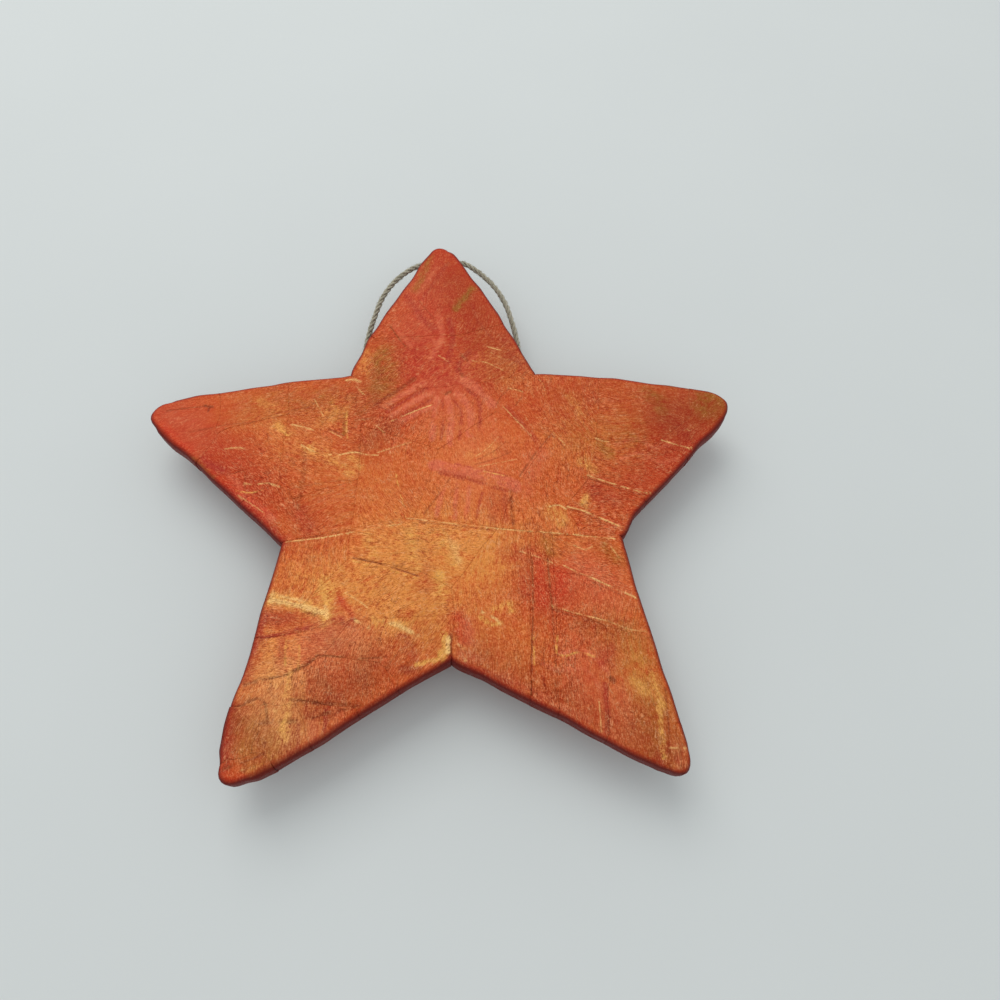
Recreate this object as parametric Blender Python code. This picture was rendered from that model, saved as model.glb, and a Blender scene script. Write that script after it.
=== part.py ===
# Papier mache star ornament: a hollow card star, pasted all over with torn paper, on a loop of jute twine.
# It lies on its back. +Z is out of the front face and +Y is towards the point that it hangs from.
# The origin is under the middle of the star, on the surface that it lies on. Lengths are in metres.

import math

import bmesh
import bpy

# Star outline, as cut by hand: five points, none quite like the next. Lists run clockwise from the top.
tip_radius = 0.1160             # centre to a point's sharp corner, before rounding
inner_radius = 0.0576           # centre to a corner between two points
tip_round = 0.0064              # radius that rounds off each point
tip_extra = (0.0017, -0.0035, 0.0043, 0.0001, -0.0034)
tip_turn = (0.0, 0.4, 0.0, -0.4, -0.4)
inner_extra = (-0.0011, 0.0013, -0.0010, -0.0003, 0.0013)
inner_turn = (1.5, 0.1, -0.4, -0.3, 0.4)
side_bulge = (0.0002, 0.0012, -0.0003, 0.0003, 0.0016, -0.0010, 0.0004, -0.0006, 0.0009, 0.0010)

# Section, from the surface that the star lies on
back_depth = 0.0115             # up to the underside of the side wall
wall_height = 0.0085
edge_round = 0.0020             # radius along both edges of the side wall
crown = 0.0030                  # rise of the front from its edge to its middle
crown_power = 2.4               # 1 is a straight cone, more is a flatter middle
rest_radius = 0.0220            # the flat that the star lies on, centre to corner
bowl_power = 1.1                # 1 is a straight cone, more is a fuller bowl

# Card and paper
card = 0.0010                   # front and back boards and the strips of the side wall
ply = 0.0002                    # one sheet of pasted paper
base_plies = 3
lay_gap = 0.0003                # between pieces that are pasted to each other
tuck_width = 0.0055             # how far the front's paper is folded under the back
rest_sheet_lap = 0.0140         # how much further than the flat its paper reaches

# Hanger
twine_diameter = 0.0021
hole_clearance = 0.00035        # round the twine
hole_below_corner = 0.0147      # below the top point's sharp corner
knot_fullness = 1.0             # radius of the knot for each diameter of the twine
# Route of the loop on its left and right, from the middle of the holes: across, and down the point
loop_left = ((-0.0068, 0.0), (-0.0100, -0.0007), (-0.0146, -0.0028), (-0.0202, -0.0073), (-0.0249, -0.0136),
             (-0.0282, -0.0216), (-0.0306, -0.0296), (-0.0320, -0.0368), (-0.0312, -0.0438), (-0.0275, -0.0495),
             (-0.0210, -0.0537), (-0.0115, -0.0562))
loop_end = (-0.0015, -0.0568)
loop_right = ((0.0068, 0.0), (0.0096, -0.0012), (0.0148, -0.0052), (0.0200, -0.0110), (0.0236, -0.0176),
              (0.0258, -0.0249), (0.0273, -0.0320), (0.0280, -0.0385), (0.0268, -0.0445), (0.0232, -0.0497),
              (0.0168, -0.0537), (0.0082, -0.0561))

arm_names = ("top", "right", "lower_right", "lower_left", "left")
tip_steps = 5                   # facets round each point
side_steps = 4                  # facets along each side
face_rings = (0.76, 0.52, 0.28)
twine_point_count = 68
twine_bevel_steps = 2           # bevel resolution of the twine
route_steps = 24                # fine steps between two points of the twine's route
hole_facets = 16

colours = {
    "card": ((0.46, 0.34, 0.22, 1.0), 0.85, 0.0),
    "face_paper": ((0.60, 0.13, 0.05, 1.0), 0.50, 0.35),
    "back_paper": ((0.52, 0.10, 0.05, 1.0), 0.55, 0.30),
    "jute": ((0.30, 0.25, 0.15, 1.0), 0.90, 0.0),
}

paper = base_plies * ply
card_face = paper + lay_gap     # depth of the card below the outer face
rim_top = back_depth + wall_height
arms = len(arm_names)
step_angle = math.pi / arms


def polar(reach, degrees):
    return (reach * math.cos(math.radians(degrees)), reach * math.sin(math.radians(degrees)))


def star_corners():
    corners = []
    for i in range(arms):
        heading = 90 - i * 2 * math.degrees(step_angle)
        corners.append(polar(tip_radius + tip_extra[i], heading + tip_turn[i]))
        heading -= math.degrees(step_angle)
        corners.append(polar(inner_radius + inner_extra[i], heading + inner_turn[i]))
    return corners


corners = star_corners()


def side_direction(i):
    a, b = corners[i], corners[(i + 1) % len(corners)]
    length = math.hypot(b[0] - a[0], b[1] - a[1])
    return ((b[0] - a[0]) / length, (b[1] - a[1]) / length)


def inset_corner(i, inset):
    """Where the two sides that meet at corner i cross, once both are moved in."""
    d1, d2 = side_direction(i - 1), side_direction(i)
    n1, n2 = (d1[1], -d1[0]), (d2[1], -d2[0])
    x, y = corners[i]
    cross = n1[0] * n2[1] - n1[1] * n2[0]
    c1 = n1[0] * x + n1[1] * y + inset
    c2 = n2[0] * x + n2[1] * y + inset
    return ((c1 * n2[1] - c2 * n1[1]) / cross, (n1[0] * c2 - n2[0] * c1) / cross)


def rounded_tip(i, inset):
    """Points of the arc that rounds tip i, clockwise, with its first and last on the sides."""
    x, y = inset_corner(i, inset)
    d1, d2 = side_direction(i - 1), side_direction(i)
    radius = max(tip_round - inset, lay_gap)
    half = math.acos(max(-1.0, min(1.0, -(d1[0] * d2[0] + d1[1] * d2[1])))) / 2
    middle = ((d2[0] - d1[0]) / 2, (d2[1] - d1[1]) / 2)
    size = math.hypot(*middle)
    reach = radius / math.sin(half)
    centre = (x + middle[0] / size * reach, y + middle[1] / size * reach)
    start = math.atan2(d1[0], -d1[1])
    sweep = math.pi - 2 * half
    return [(centre[0] + radius * math.cos(start - sweep * k / tip_steps),
             centre[1] + radius * math.sin(start - sweep * k / tip_steps)) for k in range(tip_steps + 1)]


def side_points(a, b, i):
    """Points between a and b along side i, bowed by hand cutting; neither end is included."""
    d = side_direction(i)
    out = (-d[1], d[0])
    points = []
    for k in range(1, side_steps):
        t = k / side_steps
        bow = 4 * t * (1 - t) * side_bulge[i]
        points.append((a[0] + (b[0] - a[0]) * t + out[0] * bow, a[1] + (b[1] - a[1]) * t + out[1] * bow))
    return points


def star_loop(inset):
    """The outline moved in by inset, always with the same number of points, clockwise."""
    loop = []
    for arm in range(arms):
        tip, notch = 2 * arm, 2 * arm + 1
        arc = rounded_tip(tip, inset)
        corner = inset_corner(notch, inset)
        following = rounded_tip((tip + 2) % len(corners), inset)[0]
        loop += arc + side_points(arc[-1], corner, tip) + [corner] + side_points(corner, following, notch)
    return loop


outline = star_loop(0.0)
middle_x = (max(p[0] for p in outline) + min(p[0] for p in outline)) / 2
middle_y = (max(p[1] for p in outline) + min(p[1] for p in outline)) / 2
face_loop = star_loop(edge_round)

mean_side = math.hypot(tip_radius - inner_radius * math.cos(step_angle), inner_radius * math.sin(step_angle))
side_distance = tip_radius * inner_radius * math.sin(step_angle) / mean_side    # centre to a side's line
flat_share = rest_radius / tip_radius
tuck_share = 1 - tuck_width / side_distance
hole_y = corners[0][1] - hole_below_corner - middle_y
hole_z = back_depth + wall_height / 2
hole_x = corners[0][0] - middle_x
knot_radius = twine_diameter * knot_fullness
loop_slope = (hole_z - twine_diameter / 2 - lay_gap) / -loop_end[1]    # its far end lies on the surface


def ring(loop, share, z):
    """The loop drawn in about the star's middle to a share of its size, at height z, in the part's frame."""
    return [(x * share - middle_x, y * share - middle_y, z) for x, y in loop]


def front_height(share):
    return rim_top + crown * (1 - share ** crown_power)


def back_height(share):
    rise = max(share - flat_share, 0.0) / (1 - flat_share)
    return back_depth * rise ** bowl_power


def edge_rows(depth):
    """Rows round the side wall, from under the back edge to the front edge, at a depth below the outer face."""
    radius = edge_round - depth
    turn = radius * (1 - math.sqrt(0.5))
    rows = [ring(face_loop, 1.0, back_depth + depth)]
    rows.append(ring(star_loop(depth + turn), 1.0, back_depth + depth + turn))
    rows.append(ring(star_loop(depth), 1.0, back_depth + edge_round))
    rows.append(ring(star_loop(depth), 1.0, rim_top - edge_round))
    rows.append(ring(star_loop(depth + turn), 1.0, rim_top - depth - turn))
    rows.append(ring(face_loop, 1.0, rim_top - depth))
    return rows


def front_skin_rows(depth):
    rows = [ring(face_loop, tuck_share, back_height(tuck_share) + depth)] + edge_rows(depth)
    return rows + [ring(face_loop, s, front_height(s) - depth) for s in face_rings]


def front_board_rows(depth, inset):
    rows = [ring(star_loop(inset), 1.0, rim_top - depth)]
    return rows + [ring(face_loop, s, front_height(s) - depth) for s in face_rings]


def back_rows(depth, outer_row):
    rings = [s for s in face_rings if s > flat_share] + [flat_share]
    return [outer_row] + [ring(face_loop, s, back_height(s) + depth) for s in rings]


def mesh_of(name, vertices, faces):
    mesh = bpy.data.meshes.new(name)
    mesh.from_pydata(vertices, [], faces)
    bm = bmesh.new()
    bm.from_mesh(mesh)
    bmesh.ops.recalc_face_normals(bm, faces=bm.faces)
    bmesh.ops.triangulate(bm, faces=bm.faces, quad_method="SHORT_EDGE")
    bm.to_mesh(mesh)
    bm.free()
    return mesh


def dish_mesh(name, outer, inner, outer_middle, inner_middle):
    """A closed dish between two stacks of rows, each of which closes on a middle point."""
    count = len(outer[0])
    vertices = [p for row in outer + inner for p in row]
    faces = []
    for base in (0, len(outer)):
        for r in range(len(outer) - 1):
            for k in range(count):
                a, b = (base + r) * count, (base + r + 1) * count
                n = (k + 1) % count
                faces.append((a + k, a + n, b + n, b + k))
    for top, middle in ((len(outer) - 1, outer_middle), (2 * len(outer) - 1, inner_middle)):
        vertices.append((-middle_x, -middle_y, middle))
        apex = len(vertices) - 1
        faces += [(top * count + k, top * count + (k + 1) % count, apex) for k in range(count)]
    rim = len(outer) * count
    faces += [(k, (k + 1) % count, rim + (k + 1) % count, rim + k) for k in range(count)]
    return mesh_of(name, vertices, faces)


materials = {}


def material(name):
    if name not in materials:
        colour, rough, metal = colours[name]
        made = bpy.data.materials.new(name)
        made.use_nodes = True
        shader = made.node_tree.nodes["Principled BSDF"]
        shader.inputs["Base Color"].default_value = colour
        shader.inputs["Roughness"].default_value = rough
        shader.inputs["Metallic"].default_value = metal
        made.diffuse_color = colour
        materials[name] = made
    return materials[name]


def add(name, mesh, finish):
    piece = bpy.data.objects.new(name, mesh)
    bpy.context.scene.collection.objects.link(piece)
    mesh.materials.clear()
    mesh.materials.append(material(finish))
    return piece


def cut(piece, cutter, operation):
    cutter.hide_render = True
    cutter.display_type = "WIRE"
    boolean = piece.modifiers.new(cutter.name, "BOOLEAN")
    boolean.operation = operation
    boolean.object = cutter
    boolean.solver = "EXACT"


def shrunk(polygon, gap):
    """A polygon with each side moved in by half a gap."""
    area = sum(a[0] * b[1] - b[0] * a[1] for a, b in zip(polygon, polygon[1:] + polygon[:1]))
    if area < 0:
        polygon = polygon[::-1]
    result = []
    for i, here in enumerate(polygon):
        before, after = polygon[i - 1], polygon[(i + 1) % len(polygon)]
        l1 = math.hypot(here[0] - before[0], here[1] - before[1])
        l2 = math.hypot(after[0] - here[0], after[1] - here[1])
        n1 = (-(here[1] - before[1]) / l1, (here[0] - before[0]) / l1)
        n2 = (-(after[1] - here[1]) / l2, (after[0] - here[0]) / l2)
        share = gap / 2 / (1 + n1[0] * n2[0] + n1[1] * n2[1])
        result.append((here[0] + (n1[0] + n2[0]) * share, here[1] + (n1[1] + n2[1]) * share))
    return result


def prism(name, polygon):
    """A cutting shape that stands on a polygon in the star's own plane, through the whole thickness."""
    inner = shrunk(polygon, lay_gap)
    vertices = [(x - middle_x, y - middle_y, z) for z in (-tip_radius, tip_radius) for x, y in inner]
    count = len(inner)
    faces = [tuple(range(count)), tuple(range(count, 2 * count))]
    faces += [(k, (k + 1) % count, count + (k + 1) % count, count + k) for k in range(count)]
    piece = bpy.data.objects.new(name, mesh_of(name, vertices, faces))
    bpy.context.scene.collection.objects.link(piece)
    return piece


# Corners of the paper sheets on the front, as drawn on an even star whose points reach 100 from its middle and
# whose corners between two points reach 50. The drawing is stretched to the real outline. A sheet that wraps an
# edge runs out past it.
drawn_star = (100, 50)
seams = {
    "top_out_r": (18, 116), "top_out_l": (-30, 116), "top_a_r": (17, 80), "top_a": (3, 66), "top_a_l": (-29, 61),
    "top_b_r": (25, 64), "top_b": (4, 54), "top_b_l": (-31, 53), "top_right_out": (31, 50),
    "top_left_out": (-33, 50), "neck_l": (-8, 33), "neck_r": (9, 36),
    "left_out_u": (-110, 45), "left_out_d": (-110, 12), "left_a_u": (-71, 46), "left_a": (-70, 21),
    "left_a_d": (-80, 2), "left_b_u": (-49, 46), "left_b": (-48, 26), "left_c_d": (-69, -10), "left_c": (-58, 0),
    "left_d": (-50, 3), "left_e": (-45, -2), "left_f": (-36, -13.8), "left_out": (-61, -19),
    "mid_a": (-26, 21), "mid_b": (-27, 3), "mid_c": (-3, 12), "mid_d": (15, 26), "mid_e": (19, -1),
    "waist_a": (-28, -12.5), "waist_b": (-10, -9.5), "waist_c": (13, -13), "waist_d": (22, -14.5),
    "waist_e": (28, -15.5), "waist_f": (36, -15.7),
    "right_a": (31, 16), "right_b": (46, 15), "right_b_u": (50, 47), "right_c": (33, -7), "right_d": (41, 2),
    "right_d_d": (67, -9), "right_e": (64, 14), "right_e_d": (84, 6), "right_f": (77, 24), "right_f_u": (79, 45),
    "right_out_u": (110, 45), "right_out_d": (110, 12), "right_out": (61, -21),
    "low_a_o": (-61, -28), "low_a": (-40, -34), "low_b_o": (-63, -43), "low_b": (-39, -41), "low_c": (-27, -39),
    "low_d_o": (-65, -54), "low_d": (-42, -52), "low_e": (-34, -48), "low_f": (-20, -50), "low_f_o": (-7, -63),
    "low_g_o": (-67, -60), "low_g": (-48, -59), "low_h": (-41, -59), "low_i": (-26, -60.5), "low_i_o": (-17, -71),
    "low_j_o": (-70, -78), "low_j": (-50, -70), "low_k": (-47, -64), "low_l": (-39, -64), "low_l_o": (-37, -82),
    "low_out_l": (-74, -96), "low_out_r": (-44, -96),
    "shin_a": (-28, -21), "shin_b": (-9, -26), "notch_a": (0, -31), "notch_b": (1, -38), "notch_out": (-1, -62),
    "foot_a_o": (19, -72), "foot_b_o": (26, -76), "foot_c": (27.5, -26), "foot_d": (40, -28), "foot_d_o": (61, -37),
    "foot_e": (27, -36), "foot_f": (40, -41), "foot_g_o": (63, -48), "foot_h_o": (38, -82), "foot_i": (55, -62),
    "foot_i_o": (52, -92), "foot_out_l": (52, -100), "foot_out_r": (78, -100), "foot_out_u": (74, -52),
}
notches = ("top_right_in", "right_in", "bottom_in", "left_in", "top_left_in")

# Each sheet on the front: its corners in order, and how many plies it has
front_sheets = {
    "top_tip": ("top_a_r top_out_r top_out_l top_a_l top_a", 3),
    "top_upper": ("top_b_r top_a_r top_a top_a_l top_b_l top_b", 4),
    "top_lower": ("top_right_in top_right_out top_b_r top_b top_b_l top_left_out top_left_in neck_l neck_r", 3),
    "left_tip": ("left_a_u left_out_u left_out_d left_a_d left_a", 3),
    "left_upper": ("left_b_u left_a_u left_a left_b", 4),
    "left_lower": ("left_a left_a_d left_c_d left_c left_d left_b", 3),
    "left_fold": ("left_c left_c_d left_out left_in left_f left_e left_d", 4),
    "left_shoulder": ("top_left_in top_left_out left_b_u left_b mid_a neck_l", 3),
    "left_inner_upper": ("left_b left_d left_e mid_b mid_a", 4),
    "left_inner_lower": ("left_e left_f waist_a mid_b", 3),
    "centre_top": ("neck_l mid_a mid_c mid_d neck_r", 4),
    "centre_left": ("mid_a mid_b waist_a waist_b mid_c", 3),
    "centre_right": ("mid_c waist_b waist_c mid_e right_a mid_d", 3),
    "right_shoulder": ("neck_r mid_d right_a right_b right_b_u top_right_out top_right_in", 3),
    "right_inner": ("mid_e waist_c waist_d waist_e waist_f right_c right_d right_b right_a", 4),
    "right_strip_inner": ("right_c waist_f right_in right_out right_d_d right_d", 3),
    "right_strip_outer": ("right_d right_d_d right_e_d right_e right_b", 4),
    "right_upper": ("right_b_u right_b right_e right_f right_f_u", 3),
    "right_tip": ("right_f_u right_f right_e right_e_d right_out_d right_out_u", 3),
    "lower_left_shoulder": ("left_in left_out low_a_o low_a shin_a waist_a left_f", 3),
    "centre_lower": ("waist_a shin_a shin_b notch_a waist_c waist_b", 4),
    "lower_left_inner": ("shin_a low_a low_b low_c notch_b notch_a shin_b", 3),
    "lower_left_bar": ("low_a_o low_b_o low_b low_a", 4),
    "lower_left_band": ("low_b_o low_d_o low_d low_e low_c low_b", 3),
    "notch_left": ("low_c low_e low_f low_f_o notch_out bottom_in notch_b", 4),
    "lower_left_strip": ("low_d_o low_g_o low_g low_h low_i low_i_o low_f_o low_f low_e low_d", 3),
    "lower_left_side": ("low_g_o low_j_o low_j low_k low_g", 4),
    "lower_left_patch": ("low_g low_k low_j low_l_o low_l low_h", 3),
    "lower_left_corner": ("low_h low_l low_l_o low_i_o low_i", 4),
    "lower_left_tip": ("low_j low_j_o low_out_l low_out_r low_l_o", 3),
    "notch_right": ("waist_c notch_a notch_b bottom_in notch_out foot_a_o waist_d", 3),
    "lower_right_strip": ("waist_d foot_a_o foot_b_o foot_e foot_c waist_e", 4),
    "lower_right_shoulder": ("waist_e foot_c foot_d foot_d_o right_out right_in waist_f", 3),
    "lower_right_bar": ("foot_c foot_e foot_f foot_g_o foot_d_o foot_d", 4),
    "lower_right_inner": ("foot_e foot_b_o foot_h_o foot_f", 3),
    "lower_right_outer": ("foot_f foot_h_o foot_i_o foot_i foot_g_o", 4),
    "lower_right_tip": ("foot_i foot_i_o foot_out_l foot_out_r foot_out_u foot_g_o", 3),
}


def reach_towards(loop, x, y):
    """How many times (x, y) fits into the way from the middle to a loop of corners, in that direction."""
    for a, b in zip(loop, loop[1:] + loop[:1]):
        side = (b[0] - a[0], b[1] - a[1])
        cross = x * side[1] - y * side[0]
        if cross and 0 <= (a[1] * x - a[0] * y) / -cross <= 1:
            reach = (a[0] * side[1] - a[1] * side[0]) / cross
            if reach > 0:
                return reach


def seam_point(name):
    if name in notches:
        return corners[2 * notches.index(name) + 1]
    x, y = seams[name]
    drawn = [polar(drawn_star[k % 2], 90 - k * math.degrees(step_angle)) for k in range(2 * arms)]
    stretch = reach_towards(corners, x, y) / reach_towards(drawn, x, y)
    return (x * stretch, y * stretch)


def make_front_paper():
    """Sheets over the front, down the side wall and a little way under the back."""
    skins = {}
    for plies in sorted({entry[1] for entry in front_sheets.values()}):
        outside = (base_plies - plies) * ply
        skins[plies] = dish_mesh(f"front_skin_{plies}", front_skin_rows(outside), front_skin_rows(paper),
                                 front_height(0) - outside, front_height(0) - paper)
    sheets = {}
    for name, (names, plies) in front_sheets.items():
        sheet = add("paper_" + name, skins[plies].copy(), "face_paper")
        cut(sheet, prism("cut_" + name, [seam_point(n) for n in names.split()]), "INTERSECT")
        sheets[name] = sheet
    return sheets


def make_back_paper():
    """One sheet over the flat that the star rests on, and one up the back of each point."""
    inner_share = tuck_share - lay_gap / side_distance
    outer = back_rows(0.0, ring(face_loop, inner_share, back_height(inner_share)))
    inner = back_rows(paper, ring(face_loop, inner_share, back_height(inner_share) + paper))
    skin = dish_mesh("back_skin", outer, inner, 0.0, paper)
    rest_sheet_radius = rest_radius + rest_sheet_lap
    pentagon = [polar(rest_sheet_radius, 90 - (2 * k + 1) * math.degrees(step_angle)) for k in range(arms)]
    rest = add("back_rest_sheet", skin.copy(), "back_paper")
    cut(rest, prism("cut_rest", pentagon), "INTERSECT")
    for k, name in enumerate(arm_names):
        before, after = pentagon[k - 1], pentagon[k]
        far = 2 * tip_radius
        notch_before, notch_after = corners[2 * k - 1], corners[2 * k + 1]
        side_before = (notch_before[0] + before[0], notch_before[1] + before[1])
        side_after = (notch_after[0] + after[0], notch_after[1] + after[1])
        heading = 90 - 2 * k * math.degrees(step_angle)
        spread = math.degrees(step_angle) / 2
        shape = [before, notch_before, side_before, polar(far, heading + spread), polar(far, heading - spread),
                 side_after, notch_after, after]
        sheet = add(f"back_paper_{name}", skin.copy(), "back_paper")
        cut(sheet, prism(f"cut_back_{name}", shape), "INTERSECT")


def make_boards():
    inset = card_face + card + lay_gap
    outer = front_board_rows(card_face, inset)
    inner = front_board_rows(card_face + card, inset)
    front = dish_mesh("front_board", outer, inner, front_height(0) - card_face, front_height(0) - card_face - card)
    add("front_board", front, "card")
    edge = star_loop(inset)
    outer = back_rows(card_face, ring(edge, 1.0, back_depth + card_face))
    inner = back_rows(card_face + card, ring(edge, 1.0, back_depth + card_face + card))
    back = dish_mesh("back_board", outer, inner, card_face, card_face + card)
    add("back_board", back, "card")


def make_rim_strips():
    """Ten strips of card on edge, one along each side, from the middle of a point to the corner between two."""
    radius = edge_round - card_face
    turn = radius * (1 - math.sqrt(0.5))
    inside = card_face + card
    low, high = back_depth, rim_top
    section = [(card_face, low + edge_round), (card_face, high - edge_round),
               (card_face + turn, high - card_face - turn), (inside, high - card_face),
               (inside, low + card_face), (card_face + turn, low + card_face + turn)]
    loops = [star_loop(inset) for inset, _ in section]
    per_arm = len(outline) // arms
    to_notch = tip_steps + side_steps
    strips = {}
    for arm, name in enumerate(arm_names):
        for side, (first, last) in (("right", (tip_steps / 2, to_notch)),
                                    ("left", (to_notch - per_arm, tip_steps / 2))):
            stations = [first] + [k for k in range(math.ceil(first), math.floor(last) + 1) if first < k < last]
            stations.append(last)
            vertices = []
            for station in stations:
                for loop, (_, z) in zip(loops, section):
                    vertices.append(strip_point(loop, arm * per_arm, station, first, last) + (z,))
            count = len(section)
            faces = [tuple(range(count)), tuple(range(len(vertices) - count, len(vertices)))]
            for r in range(len(stations) - 1):
                for k in range(count):
                    n = (k + 1) % count
                    faces.append((r * count + k, r * count + n, (r + 1) * count + n, (r + 1) * count + k))
            strip = add(f"rim_strip_{name}_{side}", mesh_of("rim_strip", vertices, faces), "card")
            strips[name, side] = strip
    return strips


def strip_point(loop, offset, station, first, last):
    """A point on the loop at a station, held back from the strip's two ends by half a gap."""
    count = len(loop)
    below, above = math.floor(station), math.ceil(station)
    a, b = loop[(offset + below) % count], loop[(offset + above) % count]
    share = station - below
    x, y = a[0] + (b[0] - a[0]) * share, a[1] + (b[1] - a[1]) * share
    if station in (first, last):
        towards = math.floor(station) + 1 if station == first else math.ceil(station) - 1
        target = loop[(offset + towards) % count]
        length = math.hypot(target[0] - x, target[1] - y)
        x += (target[0] - x) / length * lay_gap / 2
        y += (target[1] - y) / length * lay_gap / 2
    return (x - middle_x, y - middle_y)


def drill_twine_holes(pieces):
    """One hole straight through the side walls of the top point."""
    radius = twine_diameter / 2 + hole_clearance
    sides = hole_facets
    vertices = []
    for x in (hole_x - inner_radius, hole_x + inner_radius):
        for k in range(sides):
            turn = 2 * math.pi * k / sides
            vertices.append((x, hole_y + radius * math.cos(turn), hole_z + radius * math.sin(turn)))
    faces = [tuple(range(sides)), tuple(range(sides, 2 * sides))]
    faces += [(k, (k + 1) % sides, sides + (k + 1) % sides, sides + k) for k in range(sides)]
    drill = bpy.data.objects.new("drill", mesh_of("drill", vertices, faces))
    bpy.context.scene.collection.objects.link(drill)
    for piece in pieces:
        cut(piece, drill, "DIFFERENCE")


def smooth_route(route, count):
    """Evenly spaced points on a smooth curve through the route's own points."""
    padded = [tuple(2 * a - b for a, b in zip(route[0], route[1]))] + list(route)
    padded.append(tuple(2 * a - b for a, b in zip(route[-1], route[-2])))
    fine = []
    for p0, p1, p2, p3 in zip(padded, padded[1:], padded[2:], padded[3:]):
        for k in range(route_steps):
            t = k / route_steps
            fine.append(tuple(0.5 * (2 * b + (c - a) * t + (2 * a - 5 * b + 4 * c - d) * t * t
                                     + (3 * b - a - 3 * c + d) * t ** 3) for a, b, c, d in zip(p0, p1, p2, p3)))
    fine.append(route[-1])
    lengths = [0.0]
    for a, b in zip(fine, fine[1:]):
        lengths.append(lengths[-1] + math.dist(a, b))
    points, i = [], 0
    for k in range(count):
        target = lengths[-1] * k / (count - 1)
        while i < len(fine) - 2 and lengths[i + 1] < target:
            i += 1
        share = (target - lengths[i]) / (lengths[i + 1] - lengths[i])
        points.append(tuple(a + (b - a) * share for a, b in zip(fine[i], fine[i + 1])))
    return points, lengths[-1]


def make_hanger():
    """A loop of twine whose two ends go in through the side walls of the top point, to a knot inside."""
    pivot = bpy.data.objects.new("hanger_pivot", None)
    pivot.location = (hole_x, hole_y, hole_z)
    bpy.context.scene.collection.objects.link(pivot)

    end = knot_radius + lay_gap
    flat = [(-end, 0.0)] + list(loop_left) + [loop_end] + list(reversed(loop_right)) + [(end, 0.0)]
    route = [(x, y, y * loop_slope) for x, y in flat]
    points, length = smooth_route(route, twine_point_count)
    print(f"twine, from knot to knot: {length * 1000:.1f} mm")
    curve = bpy.data.curves.new("hanger_twine", "CURVE")
    curve.dimensions = "3D"
    curve.bevel_depth = twine_diameter / 2
    curve.bevel_resolution = twine_bevel_steps
    curve.use_fill_caps = True
    spline = curve.splines.new("POLY")
    spline.points.add(len(points) - 1)
    for target, (x, y, z) in zip(spline.points, points):
        target.co = (x, y, z, 1.0)
    curve.materials.append(material("jute"))
    twine = bpy.data.objects.new("hanger_twine", curve)
    twine.parent = pivot
    bpy.context.scene.collection.objects.link(twine)

    mesh = bpy.data.meshes.new("twine_knot")
    bm = bmesh.new()
    bmesh.ops.create_icosphere(bm, subdivisions=2, radius=knot_radius)
    bm.to_mesh(mesh)
    bm.free()
    mesh.shade_smooth()
    knot = add("twine_knot", mesh, "jute")
    knot.parent = pivot


for old in list(bpy.data.objects):
    bpy.data.objects.remove(old, do_unlink=True)

front_paper = make_front_paper()
make_back_paper()
make_boards()
rim = make_rim_strips()
drill_twine_holes([front_paper["top_tip"], rim["top", "left"], rim["top", "right"]])
make_hanger()
print(f"middle of the twine holes at x {hole_x:.5f}, y {hole_y:.5f}, z {hole_z:.5f}")
print(f"middle of the star at x {-middle_x:.5f}, y {-middle_y:.5f}; the loop falls {loop_slope:.4f} to 1")
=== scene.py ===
import cmath
import math

import bpy
import numpy as np
from mathutils import Matrix, Vector
from mathutils.geometry import delaunay_2d_cdt


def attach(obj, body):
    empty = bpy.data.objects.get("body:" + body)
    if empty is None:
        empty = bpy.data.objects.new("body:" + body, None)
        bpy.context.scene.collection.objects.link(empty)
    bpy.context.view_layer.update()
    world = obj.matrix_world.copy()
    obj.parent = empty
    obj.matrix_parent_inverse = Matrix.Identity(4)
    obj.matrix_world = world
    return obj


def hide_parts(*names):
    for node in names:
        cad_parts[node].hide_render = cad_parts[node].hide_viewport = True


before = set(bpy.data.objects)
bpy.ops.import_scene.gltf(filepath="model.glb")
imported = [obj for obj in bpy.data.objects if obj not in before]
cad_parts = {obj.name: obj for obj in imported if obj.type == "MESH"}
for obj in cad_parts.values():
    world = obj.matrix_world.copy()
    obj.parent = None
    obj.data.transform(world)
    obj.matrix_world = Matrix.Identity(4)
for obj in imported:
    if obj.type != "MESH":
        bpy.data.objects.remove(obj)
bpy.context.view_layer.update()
mm = 0.001
print("frame loaded:", len(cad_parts), "pieces")


# Camera: above the lower edge, tilted down and a little round to the right
cameraSet = {
    "place": (0.00242, -0.11813, 0.24469),
    "lookDown": 64.74,
    "turn": -7.77,
    "roll": 5.70,
    "lens": 26.6,
    "sensor": 36.0,
    "nearest": 0.01,
}


def placeCamera():
    data = bpy.data.cameras.new("viewCamera")
    data.lens = cameraSet["lens"]
    data.sensor_width = cameraSet["sensor"]
    data.clip_start = cameraSet["nearest"]
    camera = bpy.data.objects.new("viewCamera", data)
    bpy.context.scene.collection.objects.link(camera)
    aim = (Matrix.Rotation(math.radians(cameraSet["turn"]), 4, "Z")
           @ Matrix.Rotation(math.radians(90 - cameraSet["lookDown"]), 4, "X")
           @ Matrix.Rotation(math.radians(cameraSet["roll"]), 4, "Z"))
    camera.matrix_world = Matrix.Translation(cameraSet["place"]) @ aim
    bpy.context.scene.camera = camera


placeCamera()


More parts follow.
